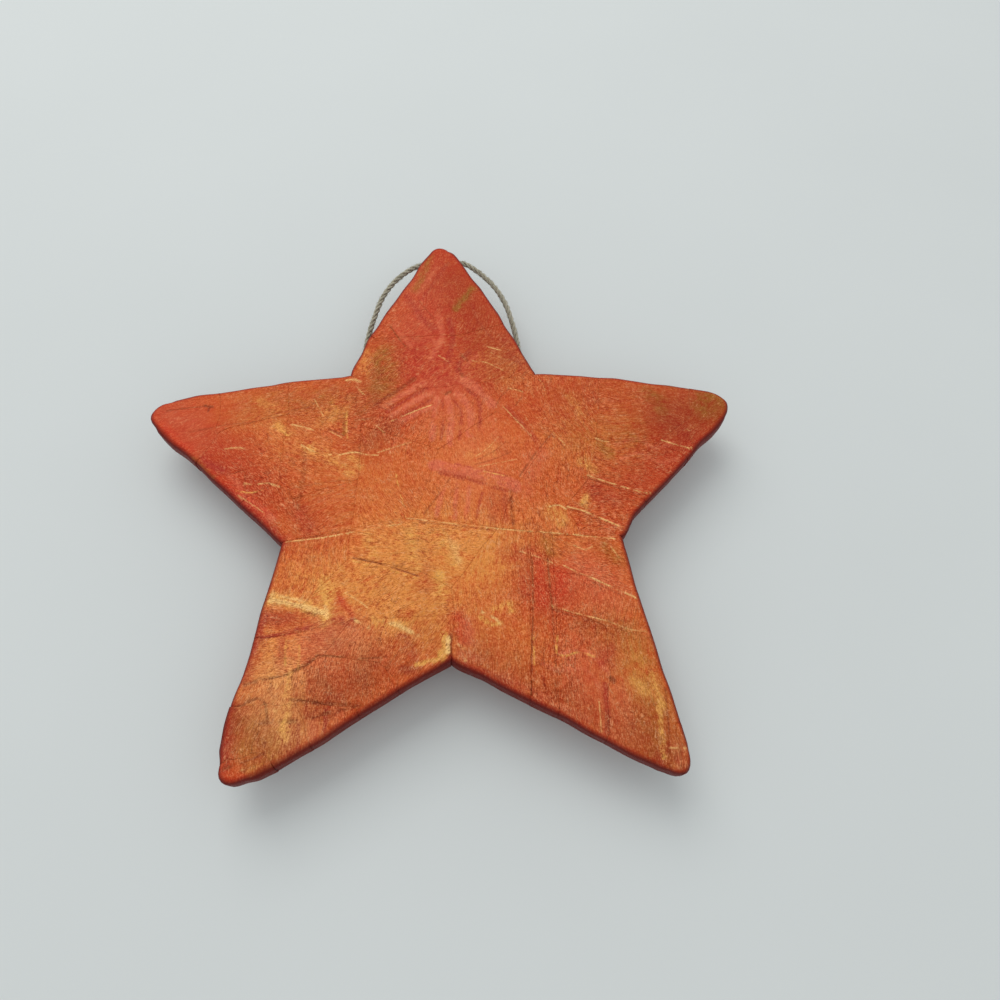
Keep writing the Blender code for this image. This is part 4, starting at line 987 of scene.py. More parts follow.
strokeSet = {
    "washBend": (3.0, 0.012),      # washes wander by so many millimetres, over this length
    "bendStep": 0.0008,            # spacing of the points on a bent stroke
    "margin": 2.4,                 # no stroke reaches further than so many half widths
    "fineHalf": 0.6,               # narrower strokes than this are made with a fine brush
    "softHalf": 1.0,               # flat strokes from this half width on fade out softly
    "dryFine": 0.74,               # how well a dry fine brush covers with gold or pale paint
    "dryBroad": 0.98,              # how well any other stroke covers
    "dryGaps": ((0.95, 0.0024, 15), (0.55, 0.0011, 16)),
    "edgeSize": 0.0018,
    "edgeReach": 1.08,
    "fineEdge": (0.12, 0.85),      # how ragged the edge is, and how wide it fades
    "broadEdge": (0.30, 0.5),
    "softEdge": (0.8, 0.0016, 0.5),
    "softCover": (0.55, 0.45),
    "riseWidth": 0.8,
}


def distanceTo(plan, starts, ends):
    # from each place to the nearest of the straight pieces that join starts to ends
    best = np.full(len(plan), np.inf)
    for a, b in zip(starts, ends):
        way = b - a
        share = np.clip(((plan - a) * np.conj(way)).real / max(abs(way) ** 2, 1e-18), 0, 1)
        best = np.minimum(best, abs(plan - a - share * way))
    return best


def boxOf(plan):
    plan = np.asarray(plan)
    return complex(plan.real.min(), plan.imag.min()), complex(plan.real.max(), plan.imag.max())


def inBox(plan, low, high):
    return (plan.real > low.real) & (plan.real < high.real) & (plan.imag > low.imag) & (plan.imag < high.imag)


def strokeLine(points):
    # a stroke's points in metres, with smooth bends between them
    rough = [complex(x, y) * mm for x, y in points]
    if len(rough) < 3:
        return rough
    smooth, _ = smoothRoute([(p.real, p.imag, 0.0) for p in rough], strokeSet["bendStep"])
    return [complex(x, y) for x, y, _ in smooth]


markLines = [strokeLine(mark[4]) for mark in frontMarks]


def strokeCover(here, away, paint, half, rise):
    # how well a stroke covers at each place; away is the distance from its line in half widths
    fine = half < strokeSet["fineHalf"]
    dryBrush = strokeSet["dryFine"] if fine and paint in ("pale", "gold") else strokeSet["dryBroad"]
    for height, size, seed in strokeSet["dryGaps"]:
        dryBrush = dryBrush + height * planNoise(here, size, seed)
    dryBrush = easeIn(dryBrush)
    if rise or half < strokeSet["softHalf"]:
        ragged, fade = strokeSet["fineEdge"] if fine else strokeSet["broadEdge"]
        away = away + planNoise(here, strokeSet["edgeSize"], 5) * ragged
        return easeIn((strokeSet["edgeReach"] - away) / fade) * dryBrush
    share, smallest, ragged = strokeSet["softEdge"]
    away = away + planNoise(here, max(half * mm * share, smallest), 5) * ragged
    least, most = strokeSet["softCover"]
    return np.exp(-np.clip(away, 0, None) ** 2) * (least + most * dryBrush)


def paintAmounts(plan):
    # how much of each paint lies at each place, and how far the strokes stand up
    amounts = {paint: np.zeros(len(plan)) for paint in paints}
    relief = np.zeros(len(plan))
    swing, size = strokeSet["washBend"]
    bend = plan + mm * swing * (planNoise(plan, size, 71) + 1j * planNoise(plan, size, 72))
    for paint, reach, strength, points in frontWashes:
        line = strokeLine(points)
        away = distanceTo(bend, line, line[1:])
        amounts[paint] += strength * np.exp(-(away / (reach * mm)) ** 2)
    for (paint, half, strength, rise, _), line in zip(frontMarks, markLines):
        low, high = boxOf(line)
        margin = half * mm * strokeSet["margin"] * (1 + 1j)
        near = np.flatnonzero(inBox(plan, low - margin, high + margin))
        if not len(near):
            continue
        here = plan[near]
        away = distanceTo(here, line, line[1:]) / (half * mm)
        cover = strokeCover(here, away, paint, half, rise) * strength
        amounts[paint][near] = np.maximum(amounts[paint][near], cover)
        if rise:
            relief[near] += rise * mm * np.exp(-(away / strokeSet["riseWidth"]) ** 2)
    return amounts, relief


# Torn sheets on the front. Their corners are drawn on an even star whose points reach 100 from its middle and
# whose inner corners reach 50, then stretched to the real outline.
drawnStar = (100, 50)
nothing = 1e-12
seams = {
    "top_out_r": (18, 116), "top_out_l": (-30, 116), "top_a_r": (17, 80), "top_a": (3, 66),
    "top_a_l": (-29, 61), "top_b_r": (25, 64), "top_b": (4, 54), "top_b_l": (-31, 53),
    "top_right_out": (31, 50), "top_left_out": (-33, 50), "neck_l": (-8, 33), "neck_r": (9, 36),
    "left_out_u": (-110, 45), "left_out_d": (-110, 12), "left_a_u": (-71, 46), "left_a": (-70, 21),
    "left_a_d": (-80, 2), "left_b_u": (-49, 46), "left_b": (-48, 26), "left_c_d": (-69, -10),
    "left_c": (-58, 0), "left_d": (-50, 3), "left_e": (-45, -2), "left_f": (-36, -13.8),
    "left_out": (-61, -19), "mid_a": (-26, 21), "mid_b": (-27, 3), "mid_c": (-3, 12), "mid_d": (15, 26),
    "mid_e": (19, -1), "waist_a": (-28, -12.5), "waist_b": (-10, -9.5), "waist_c": (13, -13),
    "waist_d": (22, -14.5), "waist_e": (28, -15.5), "waist_f": (36, -15.7), "right_a": (31, 16),
    "right_b": (46, 15), "right_b_u": (50, 47), "right_c": (33, -7), "right_d": (41, 2),
    "right_d_d": (67, -9), "right_e": (64, 14), "right_e_d": (84, 6), "right_f": (77, 24),
    "right_f_u": (79, 45), "right_out_u": (110, 45), "right_out_d": (110, 12), "right_out": (61, -21),
    "low_a_o": (-61, -28), "low_a": (-40, -34), "low_b_o": (-63, -43), "low_b": (-39, -41),
    "low_c": (-27, -39), "low_d_o": (-65, -54), "low_d": (-42, -52), "low_e": (-34, -48),
    "low_f": (-20, -50), "low_f_o": (-7, -63), "low_g_o": (-67, -60), "low_g": (-48, -59),
    "low_h": (-41, -59), "low_i": (-26, -60.5), "low_i_o": (-17, -71), "low_j_o": (-70, -78),
    "low_j": (-50, -70), "low_k": (-47, -64), "low_l": (-39, -64), "low_l_o": (-37, -82),
    "low_out_l": (-74, -96), "low_out_r": (-44, -96), "shin_a": (-28, -21), "shin_b": (-9, -26),
    "notch_a": (0, -31), "notch_b": (1, -38), "notch_out": (-1, -62), "foot_a_o": (19, -72),
    "foot_b_o": (26, -76), "foot_c": (27.5, -26), "foot_d": (40, -28), "foot_d_o": (61, -37),
    "foot_e": (27, -36), "foot_f": (40, -41), "foot_g_o": (63, -48), "foot_h_o": (38, -82),
    "foot_i": (55, -62), "foot_i_o": (52, -92), "foot_out_l": (52, -100), "foot_out_r": (78, -100),
    "foot_out_u": (74, -52),
}
notches = ("top_right_in", "right_in", "bottom_in", "left_in", "top_left_in")

# Each sheet: its corners in order, its plies, the way the brush went over it, and extra lift in millimetres
frontSheets = {
    "top_tip": ("top_a_r top_out_r top_out_l top_a_l top_a", 3, 60, 0.10),
    "top_upper": ("top_b_r top_a_r top_a top_a_l top_b_l top_b", 4, 58, 0.0),
    "top_lower": ("top_right_in top_right_out top_b_r top_b top_b_l top_left_out top_left_in neck_l neck_r",
                  3, 40, 0.0),
    "left_tip": ("left_a_u left_out_u left_out_d left_a_d left_a", 3, 12, 0.15),
    "left_upper": ("left_b_u left_a_u left_a left_b", 4, 14, 0.0),
    "left_lower": ("left_a left_a_d left_c_d left_c left_d left_b", 3, -38, 0.0),
    "left_fold": ("left_c left_c_d left_out left_in left_f left_e left_d", 4, -42, 0.0),
    "left_shoulder": ("top_left_in top_left_out left_b_u left_b mid_a neck_l", 3, 20, 0.0),
    "left_inner_upper": ("left_b left_d left_e mid_b mid_a", 4, -20, 0.0),
    "left_inner_lower": ("left_e left_f waist_a mid_b", 3, 5, 0.0),
    "centre_top": ("neck_l mid_a mid_c mid_d neck_r", 4, 75, 0.0),
    "centre_left": ("mid_a mid_b waist_a waist_b mid_c", 3, -75, 0.0),
    "centre_right": ("mid_c waist_b waist_c mid_e right_a mid_d", 3, 95, 0.0),
    "right_shoulder": ("neck_r mid_d right_a right_b right_b_u top_right_out top_right_in", 3, 120, 0.0),
    "right_inner": ("mid_e waist_c waist_d waist_e waist_f right_c right_d right_b right_a", 4, 92, 0.0),
    "right_strip_inner": ("right_c waist_f right_in right_out right_d_d right_d", 3, -18, 0.0),
    "right_strip_outer": ("right_d right_d_d right_e_d right_e right_b", 4, -16, 0.0),
    "right_upper": ("right_b_u right_b right_e right_f right_f_u", 3, -8, 0.0),
    "right_tip": ("right_f_u right_f right_e right_e_d right_out_d right_out_u", 3, 35, 0.15),
    "lower_left_shoulder": ("left_in left_out low_a_o low_a shin_a waist_a left_f", 3, 70, 0.0),
    "centre_lower": ("waist_a shin_a shin_b notch_a waist_c waist_b", 4, -8, 0.0),
    "lower_left_inner": ("shin_a low_a low_b low_c notch_b notch_a shin_b", 3, 15, 0.0),
    "lower_left_bar": ("low_a_o low_b_o low_b low_a", 4, -15, 0.0),
    "lower_left_band": ("low_b_o low_d_o low_d low_e low_c low_b", 3, 8, 0.0),
    "notch_left": ("low_c low_e low_f low_f_o notch_out bottom_in notch_b", 4, 60, 0.0),
    "lower_left_strip": ("low_d_o low_g_o low_g low_h low_i low_i_o low_f_o low_f low_e low_d", 3, 85, 0.0),
    "lower_left_side": ("low_g_o low_j_o low_j low_k low_g", 4, 88, 0.25),
    "lower_left_patch": ("low_g low_k low_j low_l_o low_l low_h", 3, 85, 0.10),
    "lower_left_corner": ("low_h low_l low_l_o low_i_o low_i", 4, 92, 0.0),
    "lower_left_tip": ("low_j low_j_o low_out_l low_out_r low_l_o", 3, 80, 0.25),
    "notch_right": ("waist_c notch_a notch_b bottom_in notch_out foot_a_o waist_d", 3, 88, 0.0),
    "lower_right_strip": ("waist_d foot_a_o foot_b_o foot_e foot_c waist_e", 4, 92, 0.0),
    "lower_right_shoulder": ("waist_e foot_c foot_d foot_d_o right_out right_in waist_f", 3, -25, 0.0),
    "lower_right_bar": ("foot_c foot_e foot_f foot_g_o foot_d_o foot_d", 4, 88, 0.0),
    "lower_right_inner": ("foot_e foot_b_o foot_h_o foot_f", 3, 90, 0.0),
    "lower_right_outer": ("foot_f foot_h_o foot_i_o foot_i foot_g_o", 4, 94, 0.0),
    "lower_right_tip": ("foot_i foot_i_o foot_out_l foot_out_r foot_out_u foot_g_o", 3, 96, 0.10),
}
sheetSet = {
    "grid": 0.00062,           # mesh spacing on the face
    "border": 0.0005,
    "tear": 0.00045,           # how far a torn edge wanders
    "lumps": ((0.022, 0.00022), (0.009, 0.00010), (0.0035, 0.00004)),
    "lipDrop": 0.00003,        # the torn edge thins out
    "lipWidth": 0.0007,
    "leastPlies": 3,
    "stepShare": 0.20,         # how much of a ply's thickness still shows through the paint
    "brushSwing": (0.022, 5.0),    # brush marks bend: over this length, by so many millimetres
    "seamWaver": ((0.006, 3, 0.7), (0.0018, 4, 0.35)),
    "seamWidth": 0.00035,
    "rimClear": 0.7,           # border points closer to the rim than this share of their spacing are left out
    "tuckWaver": ((0.007, 12, 0.010), (0.0022, 13, 0.005)),
    "tuckThins": 0.00035,      # the paper's thickness that is lost towards the end of a tuck
    "rimSpacing": 0.00067,
    "deepest": -0.0003,
    "turned": (1.5, 2.0),      # what a flap's rows under the edge, and its tuck, count as; its wall is 1
}
# The mesh of a sheet, in shares of its grid: a row of points just inside the border, how clear of the border
# the strokes' own points and the grid stay, and how close strokes' points may come to each other
fillSet = {
    "row": 0.42,
    "strokeClear": 0.36,
    "strokeApart": 0.28,
    "gridClear": 0.8,
    "strokeStep": 0.0006,
}


def reachTowards(loop, aim):
    # how many times aim fits into the way from the middle to a loop of corners
    for a, b in zip(loop, loop[1:] + loop[:1]):
        side = b - a
        across = (aim.conjugate() * side).imag
        if abs(across) < nothing:
            continue
        along = -(aim.conjugate() * a).imag / across
        reach = (a.conjugate() * side).imag / across
        if reach > 0 and -1e-9 <= along <= 1 + 1e-9:
            return reach
    return 1.0


evenStar = [cmath.rect(drawnStar[k % 2], math.radians(90 - 36 * k)) for k in range(2 * arms)]


def seamPoint(name):
    if name in notches:
        return corners[2 * notches.index(name) + 1]
    aim = complex(*seams[name])
    return aim * reachTowards(corners, aim) / reachTowards(evenStar, aim)


seamLines = {}


def seamLine(a, b, pointOf, tear):
    # the torn line between two corners, the same whichever sheet asks for it
    key = (min(a, b), max(a, b))
    if key not in seamLines:
        start, end = pointOf(key[0]), pointOf(key[1])
        count = max(2, int(abs(end - start) / sheetSet["border"]))
        share = np.linspace(0, 1, count + 1)
        line = start + (end - start) * share
        taper = np.minimum(1, 4 * np.minimum(share, 1 - share))
        waver = sum(planNoise(line, size, seed) * height for size, seed, height in sheetSet["seamWaver"])
        seamLines[key] = line + 1j * (end - start) / abs(end - start) * waver * tear * taper
    line = seamLines[key]
    return line if a == key[0] else line[::-1]


def insideOf(plan, loop):
    nextLoop = np.roll(loop, -1)
    inside = np.zeros(len(plan), bool)
    for first in range(0, len(plan), 2000):
        p = plan[first:first + 2000, None]
        crosses = (loop.imag > p.imag) != (nextLoop.imag > p.imag)
        rise = np.where(nextLoop.imag == loop.imag, nothing, nextLoop.imag - loop.imag)
        x = loop.real + (p.imag - loop.imag) * (nextLoop.real - loop.real) / rise
        inside[first:first + 2000] = (crosses & (p.real < x)).sum(axis=1) % 2 == 1
    return inside


def sheetBorder(names, pointOf, loop, tear):
    # a sheet's outline on the face: its points, each one's rim station or -1, and its runs along the rim
    named = [pointOf(n) for n in names]
    turn = sum((a.conjugate() * b).imag for a, b in zip(named, named[1:] + named[:1]))
    forward = 1 if turn < 0 else -1
    events = []
    clearance = sheetSet["rimClear"] * sheetSet["border"]

    def stationAt(name, place):
        return notchStations[notches.index(name)] if name in notches else int(abs(loop - place).argmin())

    for a, b in zip(names, names[1:] + names[:1]):
        line = seamLine(a, b, pointOf, tear)
        within = insideOf(line, loop)
        switches = np.flatnonzero(np.diff(np.concatenate([[0], within.astype(int), [0]])))
        for first, last in zip(switches[::2], switches[1::2] - 1):
            stretch = line[first:last + 1]
            entering, leaving = first > 0, last < len(line) - 1
            if entering and leaving and len(stretch) < 4:
                continue
            clear = np.ones(len(stretch), bool)
            if entering:
                station = stationAt(a, stretch[0])
                events.append(("enter", station))
                clear &= abs(stretch - loop[station]) > clearance
            if leaving:
                station = stationAt(b, stretch[-1])
                clear &= abs(stretch - loop[station]) > clearance
            else:
                clear[-1] = False       # the next seam starts with this point
            events.extend(("point", place) for place in stretch[clear])
            if leaving:
                events.append(("leave", station))
    # start where the border leaves the face, so that every run along the rim is whole
    starts = [k for k, event in enumerate(events) if event[0] == "leave"]
    if starts:
        events = events[starts[0]:] + events[:starts[0]]
    border, stationOf, runs = [], [], []
    for kind, value in events:
        if kind == "leave":
            start = value
        elif kind == "enter":
            count = (forward * (value - start)) % len(loop) + 1
            run = [(start + forward * s) % len(loop) for s in range(count)]
            border.extend(loop[k] for k in run)
            stationOf.extend(run)
            runs.append(run)
        else:
            border.append(value)
            stationOf.append(-1)
    return np.array(border), stationOf, runs


def hexPoints(low, high, step):
    rows = []
    for r, y in enumerate(np.arange(low.imag, high.imag, step * math.sqrt(3) / 2)):
        rows.append(np.arange(low.real + (r % 2) * step / 2, high.real, step) + 1j * y)
    return np.concatenate(rows)


def nearestBorder(plan, border):
    return distanceTo(plan, border, np.roll(border, -1))


def strokePoints(border, lines, step):
    # the row just inside the border and the strokes' own points, thinned out where they crowd
    following = np.roll(border, -1)
    way = following - np.roll(border, 1)
    way = way / np.maximum(abs(way), nothing)
    turn = (border.conjugate() * following).imag.sum()
    found = [border + way * (1j if turn > 0 else -1j) * fillSet["row"] * step]
    for half, line in lines:
        if len(line) == 2:
            count = max(2, int(abs(line[1] - line[0]) / fillSet["strokeStep"]) + 1)
            line = np.linspace(line[0], line[1], count)
        direction = np.gradient(line)
        across = 1j * direction / np.maximum(abs(direction), nothing) * half
        found += [line, line + across, line - across]
    found = np.concatenate(found)
    found = found[inBox(found, *boxOf(border))]
    found = found[insideOf(found, border)]
    found = found[nearestBorder(found, border) > fillSet["strokeClear"] * step]
    size = fillSet["strokeApart"] * step
    first = {}
    for p in found:
        first.setdefault((round(p.real / size), round(p.imag / size)), p)
    return np.array(list(first.values()))


def fillFace(border, lines, step):
    # triangles between the border's points, a row just inside it, the strokes' lines and a fine grid
    kept = strokePoints(border, lines, step)
    grid = hexPoints(*boxOf(border), step)
    grid = grid[insideOf(grid, border)]
    size = fillSet["gridClear"] * step
    grid = grid[nearestBorder(grid, border) > size]
    if len(kept) and len(grid):
        cells = {(int(p.real // size), int(p.imag // size)) for p in kept}
        grid = np.array([p for p in grid if (int(p.real // size), int(p.imag // size)) not in cells])
    allPoints = np.concatenate([border, kept, grid])
    flat = [Vector((p.real / mm, p.imag / mm)) for p in allPoints]
    edges = [(k, (k + 1) % len(border)) for k in range(len(border))]
    found, _, faces, origins, _, _ = delaunay_2d_cdt(flat, edges, [], 1, 1e-5, True)
    plan = np.array([complex(v.x, v.y) * mm for v in found])
    # thin triangles in the hollows of a torn edge lie outside the sheet
    centres = plan[np.array(faces)].mean(axis=1)
    faces = [face for face, within in zip(faces, insideOf(centres, border)) if within]
    borderIndex = {}
    for k, sources in enumerate(origins):
        for source in sources:
            if source < len(border):
                borderIndex[source] = k
    used = sorted({v for face in faces for v in face} | set(borderIndex.values()))
    renumber = {old: new for new, old in enumerate(used)}
    faces = [tuple(renumber[v] for v in face) for face in faces]
    return plan[used], faces, [renumber[borderIndex[k]] for k in range(len(border))]


def closeSheet(outer, inner, faces):
    # the outer skin, the inner skin, and a narrow side face along every open edge
    count = len(outer)
    directed = {}
    for face in faces:
        for a, b in zip(face, face[1:] + face[:1]):
            directed[a, b] = True
    sides = [(a, b) for a, b in directed if (b, a) not in directed]
    closed = list(faces)
    closed += [tuple(count + v for v in reversed(face)) for face in faces]
    closed += [(b, a, count + a, count + b) for a, b in sides]
    return np.vstack([outer, inner]), closed, len(sides)


def sheetMesh(name, outer, inner, faces, values, brush):
    # a sheet's mesh, with what its paint reads at each point and its brush map
    vertices, faces, sideCount = closeSheet(outer, inner, faces)
    mesh = bpy.data.meshes.new(name)
    mesh.from_pydata((vertices + middlePoint).tolist(), [], faces)
    for label, value in values.items():
        layer = mesh.attributes.new(label, "FLOAT", "POINT")
        layer.data.foreach_set("value", np.concatenate([value, value]).astype(np.float32))
    uv = mesh.uv_layers.new(name="brush")
    corner = np.zeros(len(mesh.loops), np.int32)
    mesh.loops.foreach_get("vertex_index", corner)
    both = np.concatenate([brush, brush])
    uv.data.foreach_set("uv", np.column_stack([both.real, both.imag])[corner].astype(np.float32).ravel())
    # the narrow side faces stay flat, so that they don't bend the light at a sheet's edge
    smooth = np.ones(len(faces), bool)
    smooth[len(faces) - sideCount:] = False
    mesh.polygons.foreach_set("use_smooth", smooth)
    return mesh


def skinLumps(points):
    total = np.zeros(len(points))
    for k, (size, height) in enumerate(sheetSet["lumps"]):
        total += latticeNoise(points, size, 21 + k) * height
    return total


def numberOf(name):
    # a number of its own for each name
    return sum(ord(letter) * (k + 3) for k, letter in enumerate(name)) % 977


def toneOf(name):
    # how much warmer or redder this sheet was painted, from -1 to 1
    return math.sin(numberOf(name) * 2.4)


def brushPlace(plan, degrees, name):
    # the brush map in millimetres: U runs along the strokes, which bend a little; each sheet has its own part
    size, bend = sheetSet["brushSwing"]
    swung = plan / mm + bend * (planNoise(plan, size, 61) + 1j * planNoise(plan, size, 62))
    return swung * cmath.exp(-1j * math.radians(degrees)) + numberOf(name)


def linesUnder(border):
    # the fine strokes that cross a sheet, for its mesh to follow: half their width, and their line
    low, high = boxOf(border)
    found = []
    for mark, line in zip(frontMarks, markLines):
        line = np.array(line)
        line = line - cutShift(line)
        if mark[1] <= strokeSet["softHalf"] and inBox(line, low, high).any():
            found.append((mark[1] * mm, line))
    return found


def clockwise(run):
    return (run[1] - run[0]) % stations == 1


def flapRows(run):
    # rows down the wall and in under the back: places, normals, how far they are turned down, and thickness
    k = np.array(run)
    out = outward[k]
    rows = []
    for loop, z, tilt in wallLines:
        place = np.column_stack([loop[k].real, loop[k].imag, np.full(len(run), z)])
        normal = np.column_stack([out.real * math.sin(tilt), out.imag * math.sin(tilt),
                                  np.full(len(run), math.cos(tilt))])
        rows.append((place, normal, min(tilt / (math.pi / 2), sheetSet["turned"][0]), paperDepth))
    waver = sum(planNoise(faceLoop[k], size, seed) * height for size, seed, height in sheetSet["tuckWaver"])
    steps = starSet["tuckRows"]
    for step in range(1, steps + 1):
        loop = faceLoop[k] * (1 - (1 - tuckShare + waver) * step / steps)
        place = np.column_stack([loop.real, loop.imag, backHeight(loop)])
        depth = paperDepth - sheetSet["tuckThins"] * step / steps
        rows.append((place, slopeNormals(loop, backHeight, -1.0), sheetSet["turned"][1], depth))
    return rows


def addFlap(skin, faces, run, before):
    # one flap of a sheet, joined to the points in before along its run of the rim
    previous = skin["points"][0][before]
    travelled = np.zeros(len(run))
    toEnd = np.minimum(np.arange(len(run)), np.arange(len(run))[::-1]) * sheetSet["rimSpacing"]
    for place, normal, turn, depth in flapRows(run):
        travelled = travelled + np.linalg.norm(place - previous, axis=1)
        previous = place
        first = sum(len(part) for part in skin["points"])
        row = list(range(first, first + len(run)))
        added = {"points": place, "normals": normal, "plan": faceLoop[run] + outward[run] * travelled,
                 "turn": np.full(len(run), turn), "seam": toEnd, "depth": np.full(len(run), depth)}
        for key, value in added.items():
            skin[key].append(value)
        for s in range(len(run) - 1):
            faces.append((before[s], before[s + 1], row[s + 1], row[s]) if clockwise(run) else
                         (before[s + 1], before[s], row[s], row[s + 1]))
        before = row


def frontSkin(names):
    # a front sheet before it is painted: its places, normals and so on, and its faces
    border, stationOf, runs = sheetBorder(names, seamPoint, faceLoop, sheetSet["tear"])
    plan, faces, borderIndex = fillFace(border, linesUnder(border), sheetSet["grid"])
    normals = slopeNormals(plan, frontHeight, 1.0)
    indexOf = {station: borderIndex[k] for k, station in enumerate(stationOf) if station >= 0}
    for k in indexOf.values():
        normals[k] = (0, 0, 1)
    onRim = np.array(stationOf) >= 0
    torn = ~(onRim & np.roll(onRim, -1))
    skin = {"points": [np.column_stack([plan.real, plan.imag, frontHeight(plan)])], "normals": [normals],
            "plan": [plan], "turn": [np.zeros(len(plan))],
            "seam": [distanceTo(plan, border[torn], np.roll(border, -1)[torn])],
            "depth": [np.full(len(plan), paperDepth)]}
    for run in runs:
        addFlap(skin, faces, run, [indexOf[station] for station in run])
    return {key: np.concatenate(parts) for key, parts in skin.items()}, faces


holeSet = {
    "radius": 0.00145,
    "cut": 0.93,               # points nearer than this share of the radius go
    "rim": 2.2,                # and the open edge within this share of it is drawn to the radius
    "sideFrom": 0.003,         # the holes are this far from the middle or more
}


def openTwineHoles(outer, inner, faces):
    # the two holes that the twine goes in by, through the wall of the top point
    hole = np.array(twineSet["hole"]) - middlePoint
    away = np.hypot(outer[:, 1] - hole[1], outer[:, 2] - hole[2])
    wall = abs(outer[:, 0] - hole[0]) > holeSet["sideFrom"]
    gone = (away < holeSet["radius"] * holeSet["cut"]) & wall
    kept = [face for face in faces if not any(gone[v] for v in face)]
    rim = set()
    directed = {(a, b) for face in kept for a, b in zip(face, face[1:] + face[:1])}
    for a, b in directed:
        if (b, a) not in directed and away[a] < holeSet["radius"] * holeSet["rim"] and wall[a]:
            rim.update((a, b))
    for v in rim:
        for skin in (outer, inner):
            off = skin[v, 1:] - hole[1:]
            skin[v, 1:] = hole[1:] + off / np.linalg.norm(off) * holeSet["radius"]
    return kept


def sheetValues(name, amounts, turn, seam, seamWidth):
    # what the paint's material reads at each point
    values = {paint + "Paint": amounts[paint] for paint in paints}
    values["sheetTone"] = np.full(len(turn), toneOf(name))
    values["turnedDown"] = turn
    values["seamEdge"] = np.exp(-(seam / seamWidth) ** 2)
    return values


def makeFrontSheet(name, entry, material):
    names, plies, brushWay, lift = entry
    skin, faces = frontSkin(names.split())
    points, normals, plan = skin["points"], skin["normals"], skin["plan"]
    amounts, relief = paintAmounts(plan + cutShift(plan))
    step = (plies - sheetSet["leastPlies"]) * starSet["ply"] * sheetSet["stepShare"]
    level = step + lift * mm * easeIn(skin["turn"])
    lip = sheetSet["lipDrop"] * (1 - easeIn(skin["seam"] / sheetSet["lipWidth"]))
    rise = level + relief - lip + skinLumps(points)
    inner = cutByHand(points - normals * skin["depth"][:, None])
    outer = cutByHand(points + normals * np.maximum(rise, sheetSet["deepest"])[:, None])
    if name == "top_tip":
        faces = openTwineHoles(outer, inner, faces)
    values = sheetValues(name, amounts, skin["turn"], skin["seam"], sheetSet["seamWidth"])
    mesh = sheetMesh("paper_" + name, outer, inner, faces, values, brushPlace(plan, brushWay, name))
    piece = newPiece("pasted_" + name, mesh, material, "star")
    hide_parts("paper_" + name)
    return len(mesh.polygons)


# Painted paper
paintSet = {
    "base": (0.540, 0.040, 0.0040, 1.0),
    "warm": (0.745, 0.130, 0.022, 1.0),
    "goldPaint": (0.820, 0.370, 0.080, 1.0),
    "tanPaint": (0.830, 0.275, 0.055, 1.0),
    "palePaint": (0.980, 0.580, 0.200, 1.0),
    "olivePaint": (0.330, 0.125, 0.008, 1.0),
    "darkPaint": (0.250, 0.020, 0.003, 1.0),
    "crimsonPaint": (0.420, 0.014, 0.014, 1.0),
    "pinkPaint": (0.750, 0.130, 0.064, 1.0),
    "scarletPaint": (0.640, 0.024, 0.009, 1.0),
    "redPaint": (0.510, 0.018, 0.006, 1.0),
    # painted shade: the side wall below the edge, and the rounded crest of the edge, are darkened as if in
    # shade
    "wall": (0.128, 0.008, 0.006, 1.0),
    "crestShade": (0.420, 0.014, 0.005, 1.0),
    # pale colour of the fibres where the paint was rubbed off, and also of the painted glints
    "grain": (0.960, 0.450, 0.220, 1.0),
    "specular": 0.11,
    "goldEverywhere": 0.08,
    "redEverywhere": 0.10,
    "calming": -0.75,              # how much less lively the paint is where it was brushed out smooth
    "liveliness": (0.90, 0.50),
    "blush": (0.48, 0.85, 0.42),   # these ramps rise from the first value to the second, and to the third
    "crease": (0.30, 0.75, 0.40),
    "fibre": (0.40, 0.80, 0.50),
    # painted glints: where the pale colour is mixed in as highlight specks
    "paintedGlint": (0.52, 0.90, 0.38),
    # these two ramps lay the painted shade in along the turned-down edge and down the wall
    "crestTurn": (0.05, 0.30, 0.45),
    "wallShadeTurn": (0.20, 0.64, 0.92),
    "seamDark": 0.06,
    "goldMetal": 0.30,
    "roughness": 0.44,
    "bump": 0.00014,
    "patchOffset": (0.31, 0.17, 0.05),
    "patches": {"Cloud Size": 0.021, "Pulp Size": 0.006, "Speckle Size": 0.0013},
}
# Each coat, lowest first, how far its pattern wears it away, and which pattern that is
coats = (
    ("redPaint", 0.45, "mottled"),
    ("tanPaint", 0.75, "ragged"),
    ("pinkPaint", 0.35, "mottled"),
    ("olivePaint", 0.60, "mottled"),
    ("scarletPaint", 0.45, "mottled"),
    ("crimsonPaint", 0.35, "mottled"),
    ("darkPaint", 0.20, "drawn"),
    ("goldPaint", 0.90, "ragged"),
    ("palePaint", 0.80, "drawn"),
)
# What each pattern is mixed from: a value to start from, and how much of each other pattern is added
mixes = {
    "drawn": (0.0, {"Speckle": 0.40, "Bristle": 0.60}),
    "warm": (0.0, {"Streak": 0.26, "Cloud": 0.34, "Pulp": 0.20, "Sweep": 0.28, "sheetTone": 0.13,
                   "glowPaint": 0.45}),
    "mottled": (-0.40, {"Streak": 0.50, "patchPulp": 0.50, "Pulp": 0.40, "patchSpeckle": 0.40}),
    "ragged": (-0.35, {"drawn": 0.75, "mottled": 0.95}),
    "blush": (0.0, {"patchPulp": 0.45, "patchSpeckle": 0.55}),
    # the grit: the paper's grain, with painted light and shade on its fine relief
    "gritLightAndShade": (-0.50, {"patchSpeckle": 0.25, "drawn": 0.75}),
    "roughness": (paintSet["roughness"], {"goldCover": -0.10, "Pulp": 0.16}),
    "height": (0.0, {"Pulp": 0.60, "Streak": 0.40, "Bristle": 0.30, "crease": -1.2, "fibre": 0.80,
                     "Speckle": 0.60}),
}


def readValue(tree, name):
    return addNode(tree, "ShaderNodeAttribute", attribute_name=name, attribute_type="GEOMETRY").outputs["Fac"]


def mixed(tree, patterns, name):
    # one pattern made of others
    total, parts = mixes[name]
    for label, share in parts.items():
        total = mathNode(tree, "MULTIPLY_ADD", patterns[label], share, total)
    return total


